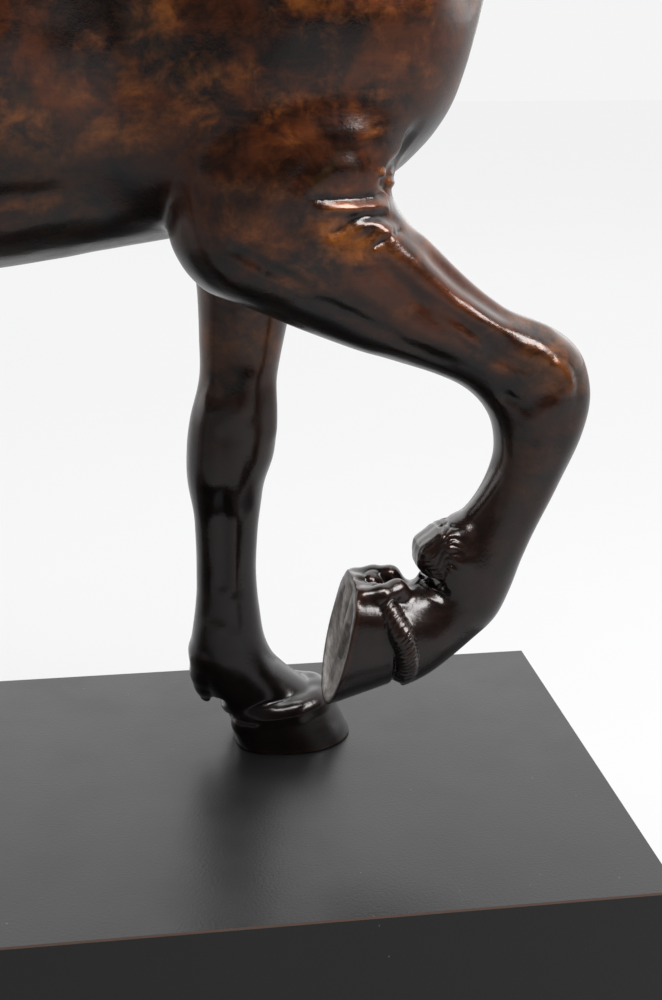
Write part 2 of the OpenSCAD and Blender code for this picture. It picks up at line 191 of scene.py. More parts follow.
def refined(field, low, high, times):
    """Part of a field on a finer grid, smoothed by a cubic spline."""
    fine = Field(low, high, field.step / times)
    values = field.values
    for axis in range(3):
        place = (fine.first[axis] + np.arange(fine.values.shape[axis])) / times - field.first[axis]
        base = np.floor(place).astype(int)
        total = 0
        for k, weight in enumerate(spline_weights(place - base)):
            shape = [1, 1, 1]
            shape[axis] = -1
            at = np.clip(base + k - 1, 0, values.shape[axis] - 1)
            total = total + values.take(at, axis=axis) * weight.reshape(shape).astype(np.float32)
        values = total
    fine.values = np.ascontiguousarray(values, np.float32)
    return fine


def distance_and_slope(field, points):
    """A field's value and gradient at points, by a cubic spline."""
    place = points / field.step - field.first
    base = np.floor(place).astype(int)
    t = place - base
    weights = [spline_weights(t[:, k]) for k in range(3)]
    slopes = [spline_slopes(t[:, k]) for k in range(3)]
    value = np.zeros(len(points))
    slope = np.zeros((len(points), 3))
    top = np.array(field.values.shape) - 1
    for i in range(4):
        for j in range(4):
            for k in range(4):
                at = np.clip(base + (i - 1, j - 1, k - 1), 0, top)
                v = field.values[tuple(at.T)]
                a, b, c = weights[0][i], weights[1][j], weights[2][k]
                value += v * a * b * c
                slope[:, 0] += v * slopes[0][i] * b * c
                slope[:, 1] += v * a * slopes[1][j] * c
                slope[:, 2] += v * a * b * slopes[2][k]
    return value, slope / field.step


def settled(field, points):
    """Points moved onto a field's zero surface, each by less than a cell at a time."""
    for _ in range(2):
        value, slope = distance_and_slope(field, points)
        move = -slope * (value / np.maximum((slope**2).sum(1), 0.05))[:, None]
        far = np.linalg.norm(move, axis=1) / (0.6 * field.step)
        points = points + move / np.maximum(far, 1)[:, None]
    return points


# ---------------------------------------------------------------- the whole horse

def values_of(items, name, kind=float):
    """A three-part property of all the items of one of Blender's lists."""
    values = np.empty(len(items) * 3, kind)
    items.foreach_get(name, values)
    return values.reshape(-1, 3)


def points_and_triangles(mesh):
    mesh.calc_loop_triangles()
    faces = values_of(mesh.loop_triangles, "vertices", np.int32)
    return values_of(mesh.vertices, "co"), faces.astype(np.int64)


def node_mesh(name):
    """A CAD node's points in mm, with heights above the plinth's top, and its triangles."""
    points, faces = points_and_triangles(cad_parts[name].data)
    points = points / MM
    points[:, 2] -= PLINTH_TOP
    return points, faces


def joined_meshes(names):
    meshes = [node_mesh(name) for name in names]
    starts = np.cumsum([0] + [len(points) for points, _ in meshes])
    faces = [faces + start for (_, faces), start in zip(meshes, starts)]
    return np.vstack([points for points, _ in meshes]), np.vstack(faces)


def around(axes, centre, radii):
    """1 near a place, falling to 0 past its radii."""
    total = sum(((axes[k] - centre[k]) / radii[k]) ** 2 for k in range(3))
    return np.exp(-total)


def closed_up(field, radius):
    """A field whose hollows tighter than a radius are filled."""
    swollen = field_of_mesh(*mesh_of_field(field, radius), field)
    swollen.values += radius
    return swollen


# Muscles and hollows on both sides: a path of x, y and z, a reach and a height.
MUSCLES = [
    ([(94, -40, 192), (118, -42, 198), (138, -36, 206)], 24, 4.6),
    ([(120, -38, 232), (104, -34, 262), (90, -28, 296)], 13, 2.2),
    ([(84, -36, 286), (104, -38, 252)], 8, -1.2),
    ([(78, -42, 176), (73, -44, 200), (71, -44, 232), (70, -40, 270)], 8, -2.2),
    ([(158, -12, 236), (152, -15, 214)], 13, 2.5),
    ([(166, 0, 246), (158, 0, 222), (148, 0, 200)], 4.5, -1.8),
    ([(148, -34, 268), (160, -26, 240)], 7, -1.6),
    ([(-58, -40, 250), (-50, -42, 232)], 14, -1.4),
    ([(-70, -32, 292)], 8, 2.4),
    ([(-96, -40, 262), (-118, -34, 258)], 18, 2.2),
    ([(-116, -38, 288), (-134, -34, 262), (-138, -34, 232), (-130, -36, 206)], 4.5, -1.6),
    ([(-58, -44, 212)], 11, 2.4),
    ([(-38, -42, 196), (-52, -42, 190)], 6, 1.6),
    ([(-20, 0, 296), (40, 0, 296)], 6, -0.8),
    ([(64, -30, 300), (46, -34, 288)], 12, -1.4),
    ([(92, -26, 312), (112, -24, 336), (132, -18, 366)], 7, 1.2),
    ([(168, -16, 272), (160, -16, 300), (150, -16, 328)], 4, -1.6),
    ([(158, -22, 272), (146, -22, 308), (138, -18, 340)], 7, 1.2),
    ([(66, -38, 178), (20, -43, 177), (-30, -43, 178), (-64, -40, 183)], 10.5, -5.2),
    ([(0, -46, 214), (8, -44, 262)], 4, -0.5),
    ([(-14, -46, 214), (-6, -44, 262)], 4, 0.4),
    ([(14, -46, 212), (22, -44, 262)], 4, 0.4),
    ([(28, -46, 212), (36, -44, 262)], 4, -0.5),
    ([(42, -46, 212), (50, -44, 260)], 4, 0.4),
    ([(-28, -46, 216), (-20, -44, 262)], 4, -0.4),
]
# Forms of one limb each, from the raised foreleg to the left hind leg.
LIMB_FORMS = [
    ([(138, -40, 174), (147, -40, 166), (159, -39, 157.5), (170, -38, 149), (180, -36, 142)],
     6.0, 1.3),
    ([(150, -32, 173), (160, -32, 165), (172, -31, 156), (186, -30, 149)], 3.4, 0.9),
    ([(150, -36, 168), (160, -36, 161), (172, -35, 152.5)], 2.6, -0.8),
    ([(116, -44, 159), (129, -44, 152), (143, -42, 143.5), (156, -40, 138), (173, -38, 131)],
     2.8, -0.9),
    ([(182, -38, 144), (190, -37, 138), (189, -38, 129), (180, -38, 124)], 3.4, 1.0),
    ([(186, -34, 147), (193, -32, 139)], 3.6, 0.7),
    ([(180, -38, 118), (177, -38, 108), (171, -36, 96)], 2.8, -0.5),
    ([(188, -36, 118), (186, -36, 107), (179, -36, 94)], 2.4, -0.4),
    ([(160, -36, 83)], 4.5, 1.0),
    ([(163, -36, 64), (156, -36, 58)], 4, 0.7),
    ([(83, -28, 173), (92, -26, 164)], 6.5, 2.0),
    ([(100, 13, 150), (98.5, 13, 128)], 2.2, -0.8),
    ([(98.5, 17, 108), (98, 18, 90), (97, 18, 58)], 2.0, -1.1),
    ([(103, 17, 104), (101.5, 18, 80), (101, 18, 56)], 2.6, 0.6),
    ([(107, 13, 125), (104, 13, 116)], 4.5, 0.9),
    ([(114, 20, 120), (115, 20, 108)], 3.5, 0.8),
    ([(95, 16, 120)], 2.6, -0.6),
    ([(97, 42, 100), (97, 40, 58)], 2.4, -1.0),
    ([(-108, -37, 136), (-104, -38, 118)], 4, 1.0),
    ([(-110, -38, 168), (-110, -36, 142)], 3, -1.4),
    ([(-90, -41, 172), (-92, -38, 150)], 8, 1.6),
    ([(-101, -33, 100), (-99, -32, 56)], 2.2, -0.9),
    ([(-95, -35, 98), (-93, -34, 56)], 2.2, -0.6),
    ([(-144, 37, 138), (-142, 38, 124)], 4, 1.0),
    ([(-134, 38, 166), (-138, 37, 146)], 3, -1.4),
    ([(-114, 41, 172), (-122, 38, 154)], 8, 1.6),
    ([(-150, 33, 92), (-163, 33, 56)], 2.2, -0.9),
    ([(-144, 35, 90), (-156, 35, 54)], 2.2, -0.6),
]


def horse_field():
    """The castings joined into one skin, with its joints rounded and its facets smoothed."""
    points, faces = joined_meshes(CASTINGS + FILLERS)
    whole = Field(points.min(0) - BAND, points.max(0) + BAND, STEP)
    whole = field_of_mesh(points, faces, whole)
    tight = closed_up(whole, TIGHT_FILL)
    wide = closed_up(whole, WIDE_FILL)
    axes = whole.axes()
    x, y, z = axes
    # The trunk's joints with the limbs and the neck are filled more than the rest is.
    trunk = ramp(z, 150, 178) * ramp(x, 176, 160) * ramp(z, 400, 340) + 0 * y
    for folds in [((142, -20, 186), (12, 30, 10)), ((86, -25, 180), (15, 30, 17))]:
        trunk = np.clip(trunk - 1.2 * around(axes, *folds), 0, 1)
    values = tight.values + trunk.astype(np.float32) * (wide.values - tight.values)
    soft = blurred(values, SOFT / STEP)
    softer = blurred(values, SOFTER / STEP)
    broad = ramp(z, 176, 196) * ramp(z, 345, 325)
    broad = broad * (1 - around(axes, (142, -20, 186), (20, 40, 16)))
    whole.values = (soft + broad * (softer - soft)).astype(np.float32)
    for path, radius, height in MUSCLES:
        for one in both_sides(path):
            swell(whole, one, radius, height)
    for path, radius, height in LIMB_FORMS:
        swell(whole, path, radius, height)
    # The marks of the modelling tools: a slight unevenness all over.
    random = np.random.default_rng(7)
    rough = random.standard_normal(whole.values.shape).astype(np.float32)
    rough = blurred(rough, TOOL_MARK_WIDTH / STEP)
    whole.values += TOOL_MARK_HEIGHT / rough.std() * rough
    return whole


# ---------------------------------------------------------------- shapes added to a field

def smooth_path(path, count):
    """Points on a smooth curve through a path's points."""
    path = np.array(path, float)
    place = np.linspace(0, len(path) - 1, count)
    base = np.clip(np.floor(place).astype(int), 0, len(path) - 2)
    t = (place - base)[:, None]
    a, b, c, d = (path[np.clip(base + k, 0, len(path) - 1)] for k in (-1, 0, 1, 2))
    return b + t / 2 * ((c - a) + t * ((2 * a - 5 * b + 4 * c - d) + t * (3 * b - a - 3 * c + d)))


def nearest_on(start, edge, x, y, z):
    """How far along an edge its nearest point lies, from 0 to 1, and the squared distance to it."""
    x, y, z = x - start[0], y - start[1], z - start[2]
    t = (x * edge[0] + y * edge[1] + z * edge[2]) / max(edge @ edge, 1e-6)
    t = np.clip(t, 0, 1)
    return t, (x - t * edge[0]) ** 2 + (y - t * edge[1]) ** 2 + (z - t * edge[2]) ** 2


def merge(field, low, high, distance, reach, cut=False):
    """Adds or cuts a shape, given as a function of x, y and z, between two corners."""
    window, (x, y, z) = field.window(low, high)
    if field.values[window].size == 0:
        return
    shape = np.asarray(distance(x, y, z) + 0 * (x + y + z), np.float32)
    old = field.values[window]
    if cut:
        field.values[window] = -smooth_min(-old, shape, reach)
    else:
        field.values[window] = smooth_min(old, shape, reach)


def add_rod(field, path, reach, cut=False):
    """Adds or cuts a round rod along points of x, y, z and radius."""
    path = np.asarray(path, float)
    for a, b in zip(path[:-1], path[1:]):
        thick = max(a[3], b[3]) + 2 * reach + 1
        low, high = np.minimum(a, b)[:3] - thick, np.maximum(a, b)[:3] + thick

        def distance(x, y, z):
            t, gap = nearest_on(a[:3], b[:3] - a[:3], x, y, z)
            return np.sqrt(gap) - a[3] - t * (b[3] - a[3])

        merge(field, low, high, distance, reach, cut)


def swell(field, path, radius, height):
    """Raises a skin softly around a path of x, y and z, or sinks it when the height is below 0."""
    path = np.atleast_2d(np.asarray(path, float))
    if len(path) == 1:
        path = np.vstack([path, path + (0.01, 0, 0)])
    window, (x, y, z) = field.window(path.min(0) - 2.3 * radius, path.max(0) + 2.3 * radius)
    nearest = np.inf
    for a, b in zip(path[:-1], path[1:]):
        nearest = np.minimum(nearest, nearest_on(a, b - a, x, y, z)[1])
    field.values[window] -= (height * np.exp(-nearest / radius**2)).astype(np.float32)


def evened(values, share):
    """Values along a line, each blended with a share of both its neighbours."""
    padded = np.pad(values, 1, mode="edge")
    return np.convolve(padded, (share, 1 - 2 * share, share), "valid")


def both_sides(path):
    path = np.atleast_2d(np.asarray(path, float))
    return [path, path * (1, -1, 1)]


def lock_of_hair(field, path, radius, reach=0.5):
    """A rod along a path of x, y and z that thins to a point."""
    line = smooth_path(path, 4 * len(path))
    t = np.linspace(0, 1, len(line))
    thin = radius * ramp(t, -0.1, 0.35) * (1 - t**1.8) + 0.3
    add_rod(field, np.column_stack([line, thin]), reach)


def on_side(field, path, start, toward, lift=0.0):
    """Points on a skin under a path of x and z, found from y = start going toward -1 or 1."""
    path = np.asarray(path, float)
    top = np.array(field.values.shape) - 1
    i = np.clip(np.round(path[:, 0] / field.step).astype(int) - field.first[0], 0, top[0])
    k = np.clip(np.round(path[:, 1] / field.step).astype(int) - field.first[2], 0, top[2])
    j = int(np.clip(round(start / field.step) - field.first[1], 0, top[1]))
    points = []
    for x, z, column in zip(path[:, 0], path[:, 1], field.values[i, :, k]):
        steps = column[j:] if toward > 0 else column[j::-1]
        inside = np.flatnonzero(steps < 0)
        at = inside[0] if len(inside) else int(steps.argmin())
        points.append((x, (j + toward * at + field.first[1]) * field.step, z))
    points = np.array(points)
    found = settled(field, points)
    close = np.linalg.norm(found - points, axis=1) < 2 * field.step
    points[close] = found[close]
    points[:, 1] -= toward * lift
    return points


# ---------------------------------------------------------------- skins

class Skin:
    """A mesh being modelled: points, faces and the normals at its points."""

    def __init__(self, field):
        self.field = field
        points, self.faces = mesh_of_field(field)
        self.points = settled(field, points)
        self.sole_share = lambda points: np.zeros(len(points))
        self.find_normals()

    def find_normals(self):
        p = self.points
        f = self.faces
        across = np.cross(p[f[:, 2]] - p[f[:, 0]], p[f[:, -1]] - p[f[:, 1]])
        if f.shape[1] == 3:
            across = np.cross(p[f[:, 1]] - p[f[:, 0]], p[f[:, 2]] - p[f[:, 0]])
        normals = np.zeros_like(p)
        for k in range(f.shape[1]):
            for axis in range(3):
                normals[:, axis] += np.bincount(f[:, k], across[:, axis], len(p))
        self.normals = normals / np.maximum(np.linalg.norm(normals, axis=1), 1e-9)[:, None]

    def ridges(self):
        """How much the skin bulges, from -1 in a crease to 1 on a ridge."""
        a = self.faces.ravel()
        b = np.roll(self.faces, -1, axis=1).ravel()
        count = np.maximum(np.bincount(a, minlength=len(self.points)), 1)

        def mean_around(values):
            return np.bincount(a, values, len(count)) / count

        # The gap along the normal to the neighbours' middle grows with the bulge.
        points = self.points
        for _ in range(4):
            points = np.column_stack([mean_around(points[b, k]) for k in range(3)])
        size = mean_around(np.linalg.norm(self.points[b] - self.points[a], axis=1))
        bulge = ((self.points - points) * self.normals).sum(1) / np.maximum(size, 0.05)
        for _ in range(3):
            bulge = mean_around(bulge[b])
        return np.clip(bulge / 0.35, -1, 1)

    def refine(self, inside):
        """Splits the faces at the places where a function of the points is true, into triangles."""
        chosen = inside(self.points)[self.faces].all(axis=1)
        mesh = bpy.data.meshes.new("refined")
        mesh.from_pydata(self.points.tolist(), [], self.faces.tolist())
        bm = bmesh.new()
        bm.from_mesh(mesh)
        bm.faces.ensure_lookup_table()
        edges = {e for i in np.flatnonzero(chosen) for e in bm.faces[i].edges}
        bmesh.ops.subdivide_edges(bm, edges=list(edges), cuts=1, use_grid_fill=True)
        bmesh.ops.triangulate(bm, faces=bm.faces[:])
        bm.to_mesh(mesh)
        bm.free()
        self.points = settled(self.field, values_of(mesh.vertices, "co"))
        self.faces = values_of(mesh.polygons, "vertices", np.int32).astype(np.int64)
        bpy.data.meshes.remove(mesh)
        self.find_normals()

    def near(self, path, width):
        """The points within a width of a path: which, how far, and how far along it from 0 to 1."""
        low, high = path.min(0) - width, path.max(0) + width
        which = np.flatnonzero(((self.points > low) & (self.points < high)).all(axis=1))
        p = self.points[which]
        best = np.full(len(p), np.inf)
        along = np.zeros(len(p))
        for k, (a, b) in enumerate(zip(path[:-1], path[1:])):
            t, gap = nearest_on(a, b - a, *p.T)
            closer = gap < best
            best[closer] = gap[closer]
            along[closer] = (k + t[closer]) / (len(path) - 1)
        best = np.sqrt(best)
        kept = best < width
        return which[kept], best[kept], along[kept]

    def stroke(self, path, width, height, sharp=False):
        """Raises or sinks the skin along a path, fading to its ends and its sides."""
        which, gap, along = self.near(path, width)
        share = 1 - gap / width
        profile = share**2 if sharp else share * share * (3 - 2 * share)
        fade = ramp(along, -0.12, 0.25) * ramp(along, 1.12, 0.75) if len(path) > 2 else 1
        self.points[which] += self.normals[which] * (height * profile * fade)[:, None]


def piece_from_skin(name, skin, cuts, keep):
    """A Blender mesh of a skin, cut along planes near their places and kept where it holds a point.

    Each cut is a place, a normal and a reach, and only faces within its reach are cut.
    """
    mesh = bpy.data.meshes.new(name)
    mesh.from_pydata(skin.points.tolist(), [], skin.faces.tolist())
    normals = mesh.attributes.new("skin_normal", "FLOAT_VECTOR", "POINT")
    normals.data.foreach_set("vector", skin.normals.astype(np.float32).ravel())
    for label, values in (("ridge", skin.ridges()), ("sole", skin.sole_share(skin.points))):
        layer = mesh.attributes.new(label, "FLOAT", "POINT")
        layer.data.foreach_set("value", values.astype(np.float32))
    bm = bmesh.new()
    bm.from_mesh(mesh)
    for place, normal, reach in cuts:
        bm.verts.ensure_lookup_table()
        gaps = skin.points - np.array(place)
        across = gaps @ np.array(normal)
        close = (np.linalg.norm(gaps, axis=1) < reach) & (abs(across) < 3 * STEP)
        near = [bm.verts[i] for i in np.flatnonzero(close)]
        faces = {f for v in near for f in v.link_faces}
        edges = {e for f in faces for e in f.edges}
        geometry = near + list(faces) + list(edges)
        cut = bmesh.ops.bisect_plane(bm, geom=geometry, plane_co=place, plane_no=normal)
        seam = [e for e in cut["geom_cut"] if isinstance(e, bmesh.types.BMEdge)]
        bmesh.ops.split_edges(bm, edges=seam)
    bm.to_mesh(mesh)
    points, faces = points_and_triangles(mesh)
    labels = shell_labels(len(points), faces)
    start = np.linalg.norm(points - np.array(keep), axis=1).argmin()
    bm.verts.ensure_lookup_table()
    gone = [bm.verts[i] for i in np.flatnonzero(labels != labels[start])]
    bmesh.ops.delete(bm, geom=gone, context="VERTS")
    rims = [e for e in bm.edges if e.is_boundary]
    bmesh.ops.holes_fill(bm, edges=rims, sides=0)
    bm.to_mesh(mesh)
    bm.free()
    return finished_piece(name, mesh)


def finished_piece(name, mesh):
    """Moves a mesh modelled in mm to metres in the part's frame, with its skin's normals."""
    points = values_of(mesh.vertices, "co")
    points[:, 2] += PLINTH_TOP
    mesh.vertices.foreach_set("co", (points * MM).ravel())
    normals = values_of(mesh.attributes["skin_normal"].data, "vector", np.float32)
    normals /= np.maximum(np.linalg.norm(normals, axis=1), 1e-6)[:, None]
    mesh.attributes.remove(mesh.attributes["skin_normal"])
    mesh.shade_smooth()
    mesh.normals_split_custom_set_from_vertices(normals.tolist())
    mesh.update()
    piece = bpy.data.objects.new(name, mesh)
    bpy.context.scene.collection.objects.link(piece)
    return piece


# Each casting's seam with the body: a place on it, its normal and the reach of the cut.
SEAMS = {
    "neck_and_head": ((126.5, 0, 304.5), (0.587, 0, 0.81), 66),
    "tail": ((-145.5, 0, 279), (-0.944, 0, -0.33), 16),
    "right_foreleg": ((140, -26, 155.5), (0.27, 0, -0.963), 32),
    "left_foreleg": ((108, 27, 165), (0.16, 0, -0.987), 26),
    "right_hind_leg": ((-95, -25, 155), (0.083, 0, -0.997), 34),
    "left_hind_leg": ((-119.5, 25, 160), (0.093, 0, -0.996), 32),
}


# Fine strokes on the near side: a path of x and z, a width and a height, and whether it is sharp.
STROKES = [
    ([(97, 174.5), (100, 172.6), (104, 170), (110, 167), (118, 163)], 3.0, -0.7, False),
    ([(117, 187), (121, 191), (126, 192.5), (131, 191), (135, 188)], 5.5, 0.3, False),
    ([(113, 187), (117, 193), (123, 197.4), (130, 197.5), (137, 192)], 5.0, -0.35, False),
    ([(118, 186), (122, 185.6), (129, 185.6), (138, 186)], 2.6, -0.8, True),
    ([(120, 183), (126, 183.2), (132, 182.6), (139, 183)], 2.6, 0.8, False),
    ([(122, 176.6), (126, 178.6), (131, 181), (136, 180.6), (142, 178)], 2.8, -0.7, False),
    ([(129, 177.4), (133, 179), (137, 177.2), (140, 174.6)], 3.4, 0.7, False),
    ([(134, 173), (138, 175.2), (143, 177)], 1.9, -0.8, True),
    ([(137, 187), (139, 190), (143, 195), (147, 202)], 4.4, -1.5, False),
    ([(136, 192), (139, 190), (142, 187)], 1.8, 0.7, False),
    ([(136, 176), (142, 171), (150, 163), (160, 156), (170, 150), (180, 146)], 6.0, 0.7, False),
    ([(134, 171), (141, 164.5), (150, 157), (160, 151), (170, 146)], 3.6, -0.55, False),
    ([(126, 165), (134, 160), (146, 152), (158, 145), (170, 139)], 4.2, 0.45, False),
    ([(120, 160), (132, 154), (146, 146), (158, 140)], 3.0, -0.5, False),
    ([(164, 146), (172, 141), (180, 138)], 3.0, -0.5, False),
    ([(150, 157), (160, 149), (168, 143)], 2.6, 0.5, False),
    ([(172, 131), (176, 129), (180, 125.6)], 2.8, -0.6, False),
    ([(184, 140), (189, 136), (190, 130)], 3.6, 0.7, False),
    ([(151, 74), (155, 73), (159, 71)], 3.0, -1.2, False),
    ([(58, 187), (40, 186), (10, 184), (-20, 186)], 5.0, -0.5, False),
    ([(62, 181), (40, 178), (10, 176), (-20, 178)], 4.0, 0.4, False),
]


class HoofPlace:
    """A hoof's own directions: u toward its toe, v across and w up from its ground surface."""

    def __init__(self, centre, toward, up, length, width, toe_slope, heel_slope, coronet):
        self.centre = np.array(centre, float)
        self.toward = np.array(toward, float)
        self.up = np.array(up, float)
        self.length, self.width = length, width
        self.toe_slope, self.heel_slope = toe_slope, heel_slope
        self.coronet = coronet  # heights of the coronet at the toe and at the heel

    def local(self, x, y, z):
        dx, dy, dz = x - self.centre[0], y - self.centre[1], z - self.centre[2]
        u = dx * self.toward[0] + dz * self.toward[2]
        return u, dy, dx * self.up[0] + dz * self.up[2]

    def at(self, u, v, w):
        return self.centre + u * self.toward + w * self.up + np.array((0, v, 0))

    def rod(self, path):
        """A rod's points of u, v, w and radius as x, y, z and radius."""
        return [(*self.at(u, v, w), radius) for u, v, w, radius in path]

    def ends(self, w):
        """The toe and the heel of the hoof's outline at a height."""
        return self.length - self.toe_slope * w, -self.length + self.heel_slope * w

    def wall(self, u, v, w):
        """Distance out from the wall, whose heels are squarer than its toe."""
        toe, heel = self.ends(w)
        half, middle = (toe - heel) / 2, (toe + heel) / 2
        across = self.width - 0.12 * w
        along, aside = abs((u - middle) / half), abs(v / across)
        toe_round = np.sqrt(along**2 + aside**2)
        heel_round = (along**2.8 + aside**2.8) ** (1 / 2.8)
        blend = ramp(u - middle, -0.1 * half, -0.7 * half)
        return (toe_round + blend * (heel_round - toe_round) - 1) * across * 0.94

    def sole_share(self, points):
        """1 at the points on the sole, fading to 0 at the foot of the wall."""
        u, v, w = self.local(*points.T)
        return ramp(self.wall(u, v, w), -0.6, -1.4) * ramp(w, 5.0, 3.6)

    def top(self, u):
        """The height of the coronet's plane at a distance toward the toe."""
        high, low = self.coronet
        return low + (high - low) * (u + self.length) / (1.6 * self.length)

    def ring(self, grow, lift, count=48):
        """Points around the coronet, from the middle of the heel and back to it."""
        points = []
        for turn in np.linspace(0, 2 * math.pi, count + 1):
            u = -math.cos(turn) * self.length * 0.8
            w = self.top(u) + lift
            toe, heel = self.ends(w)
            half, middle = (toe - heel) / 2 + grow, (toe + heel) / 2
            across = self.width - 0.12 * w + grow
            points.append(self.at(middle - half * math.cos(turn), across * math.sin(turn), w))
        return np.array(points)


HOOVES = {
    "right_foreleg": HoofPlace(
        (127.6, -25, 56), (-0.226, 0, -0.974), (0.974, 0, -0.226), 19.9, 16.4, 0.6, 0.0, (19, 11)),
    "left_foreleg": HoofPlace(
        (120, 28, 0), (1, 0, 0), (0, 0, 1), 19.6, 17, 0.45, -0.16, (14, 10.5)),
    "right_hind_leg": HoofPlace(
        (-68.5, -25, 0), (1, 0, 0), (0, 0, 1), 19.4, 16, 0.52, -0.1, (15, 13)),
    "left_hind_leg": HoofPlace(
        (-152, 25, 0), (1, 0, 0), (0, 0, 1), 18.4, 16, 0.45, -0.1, (15, 13)),
}


def model_hoof(field, hoof, lifted):
    """Shapes the wall, the groove under the coronet, the heel bulbs and a lifted hoof's sole."""
    reach = hoof.length + 6
    low, high = hoof.centre - reach, hoof.centre + reach
    low[1], high[1] = hoof.centre[1] - 22, hoof.centre[1] + 22

    def shape_with(distance, blend, cut=False, room=0):
        """Adds or cuts a shape, given as a function of u, v and w."""
        def placed(x, y, z):
            return distance(*hoof.local(x, y, z))

        merge(field, low - room, high + room, placed, blend, cut)

    def outside(u, v, w):
        return np.maximum(-hoof.wall(u, v, w), w - hoof.top(u) - (2.5 if lifted else -0.6))

    def block(u, v, w):
        return np.maximum(np.maximum(hoof.wall(u, v, w), w - hoof.top(u)), -w)

    def groove(u, v, w):
        return np.sqrt(hoof.wall(u, v, w) ** 2 + ((w - hoof.top(u)) * 0.9) ** 2) - 0.9

    def below(u, v, w):
        return np.maximum(w, np.abs(u) - reach)

    def sole(u, v, w):
        long, wide = hoof.length - 2.4, hoof.width - 2.4
        return (np.sqrt((u / long) ** 2 + (v / wide) ** 2 + (w / 2.6) ** 2) - 1) * 2.6

    shape_with(outside, 0.5, cut=True)
    shape_with(block, 0.5)
    shape_with(groove, 0.8, cut=True)
    if lifted:
        shape_with(below, 0.3, cut=True)
        shape_with(sole, 0.3, cut=True)
        for v in (-1, 1):
            frog = [(-17, 5.5 * v, 2.2, 2.6), (-8, 3.4 * v, 2.2, 2.2), (4, 0.4 * v, 2.2, 1.4)]
            bar = [(-15, 11 * v, 2.0, 1.3), (-6, 7.5 * v, 2.2, 1.1)]
            for ridge in (frog, bar):
                add_rod(field, hoof.rod(ridge), 0.3)
    back = -hoof.length
    for v in (-9.5, 9.5):
        if lifted:
            bulb = [(back + 2.2, 0.9 * v, 3, 2.2), (back + 1.0, 0.85 * v, 8, 2.6),
                    (back - 0.6, 0.6 * v, 12.3, 2.6), (back + 3, 0.45 * v, 17, 2.4)]
        else:
            bulb = [(back + 3.4, 0.9 * v, 4, 2.2), (back + 2, 0.85 * v, 8, 2.6),
                    (back + 3.6, 0.7 * v, 12, 2.4)]
        add_rod(field, hoof.rod(bulb), 2.4)
    cleft = [(back - 1, 0, 3, 2.2), (back - 0.6, 0, 9, 3.2), (back + 2, 0, 13, 2.0)]
    add_rod(field, hoof.rod(cleft), 1.0, cut=True)
    shape_with(below, 0.2, cut=True, room=4)


RAISED_Y = -25  # the middle of the raised foreleg
ROPE_BOW = np.array((0.986, 0, -0.164))  # where the sides of the rope bow to


def rope_ring():
    """The middle and radius of the rope of hair round the raised hoof's coronet.

    It bows at its sides, and it thins toward its ends on the two heel bulbs.
    """
    turn = np.linspace(0.25, 2 * math.pi - 0.25, 61)
    bow = 3.6 * np.abs(np.sin(turn)) ** 0.8
    x = 141.6 - 3.4 * np.cos(turn) - 1.4 * np.cos(turn) ** 2 + ROPE_BOW[0] * bow
    z = 59.6 + 13.1 * np.cos(turn) + ROPE_BOW[2] * bow
    lumps = 0.22 * np.sin(5.3 * turn + 1) + 0.16 * np.sin(11 * turn)
    radius = (3.2 + lumps) * ramp(np.minimum(turn, 2 * math.pi - turn), -0.1, 0.4)
    radius *= 1 - 0.22 * np.exp(-(((turn - math.pi) / 0.5) ** 2))
    return np.column_stack([x, RAISED_Y - 14.6 * np.sin(turn), z, radius])


def model_coronet(field, hoof):
    """A low uneven roll of hair over a hoof that stands."""
    ring = hoof.ring(-3.4, 0.2)
    place = np.arange(len(ring))
    uneven = 0.4 * np.sin(place * 1.35) + 0.3 * np.sin(place * 0.62 + 1)
    add_rod(field, np.column_stack([ring, 2.4 + 0.5 * uneven]), 3.0)
    # The slope of the pastern down to the toe.
    add_rod(field, hoof.rod([(-8, 0, 19, 6.5), (2.5, 0, 10.5, 7)]), 4.0)


def model_raised_fetlock(field):
    """The thick tuft behind the raised fetlock, as three rods, and the notch below it."""
    core = [(171, 90, 4.0, 0.2), (165, 87.2, 5.0, 0.6), (159, 85, 4.7, 1), (154.6, 82.6, 3.8, 1),
            (152.7, 79.6, 2.0, 0.8)]  # x, z, radius and spread
    for v in (-4, 0, 4):
        tuft = [(x, RAISED_Y + v * spread, z, radius) for x, z, radius, spread in core]
        add_rod(field, tuft, 2.0)
    for y in (-40, -10):
        notch = [(149.6, RAISED_Y, 76.4, 1.5), (153, RAISED_Y, 76, 1.6),
                 (156, (y + RAISED_Y) / 2, 75, 1.4), (158, y, 73, 0.8)]
        add_rod(field, notch, 0.6, cut=True)


def comb_raised_tuft(skin):
    """Cuts the S-shaped grooves between the locks on both sides of the raised tuft."""
    t = np.linspace(0, 1, 17)[:, None]
    for side in (1, -1):
        for k, share in enumerate(np.linspace(0, 1, 11)):
            start = np.array((170.0, 97.0)) * (1 - share) + np.array((163.5, 80.0)) * share
            end = np.array((150.6, 82.6)) * (1 - share) + np.array((155.4, 77.0)) * share
            start = start - (start - end) * (0.42 + 0.1 * math.sin(4 * k))
            line = start + (end - start) * t
            bend = 1.3 * np.sin(2 * math.pi * t) + 1.0 * np.sin(math.pi * t) + 0.3 * math.sin(3 * k)
            line = line + np.array((-0.4, 1.0)) * bend
            found = on_side(skin.field, line, RAISED_Y - 20.5 * side, side)
            skin.stroke(found, 1.3, -0.45 if k % 2 else -0.35, k % 3 > 0)
    skin.find_normals()


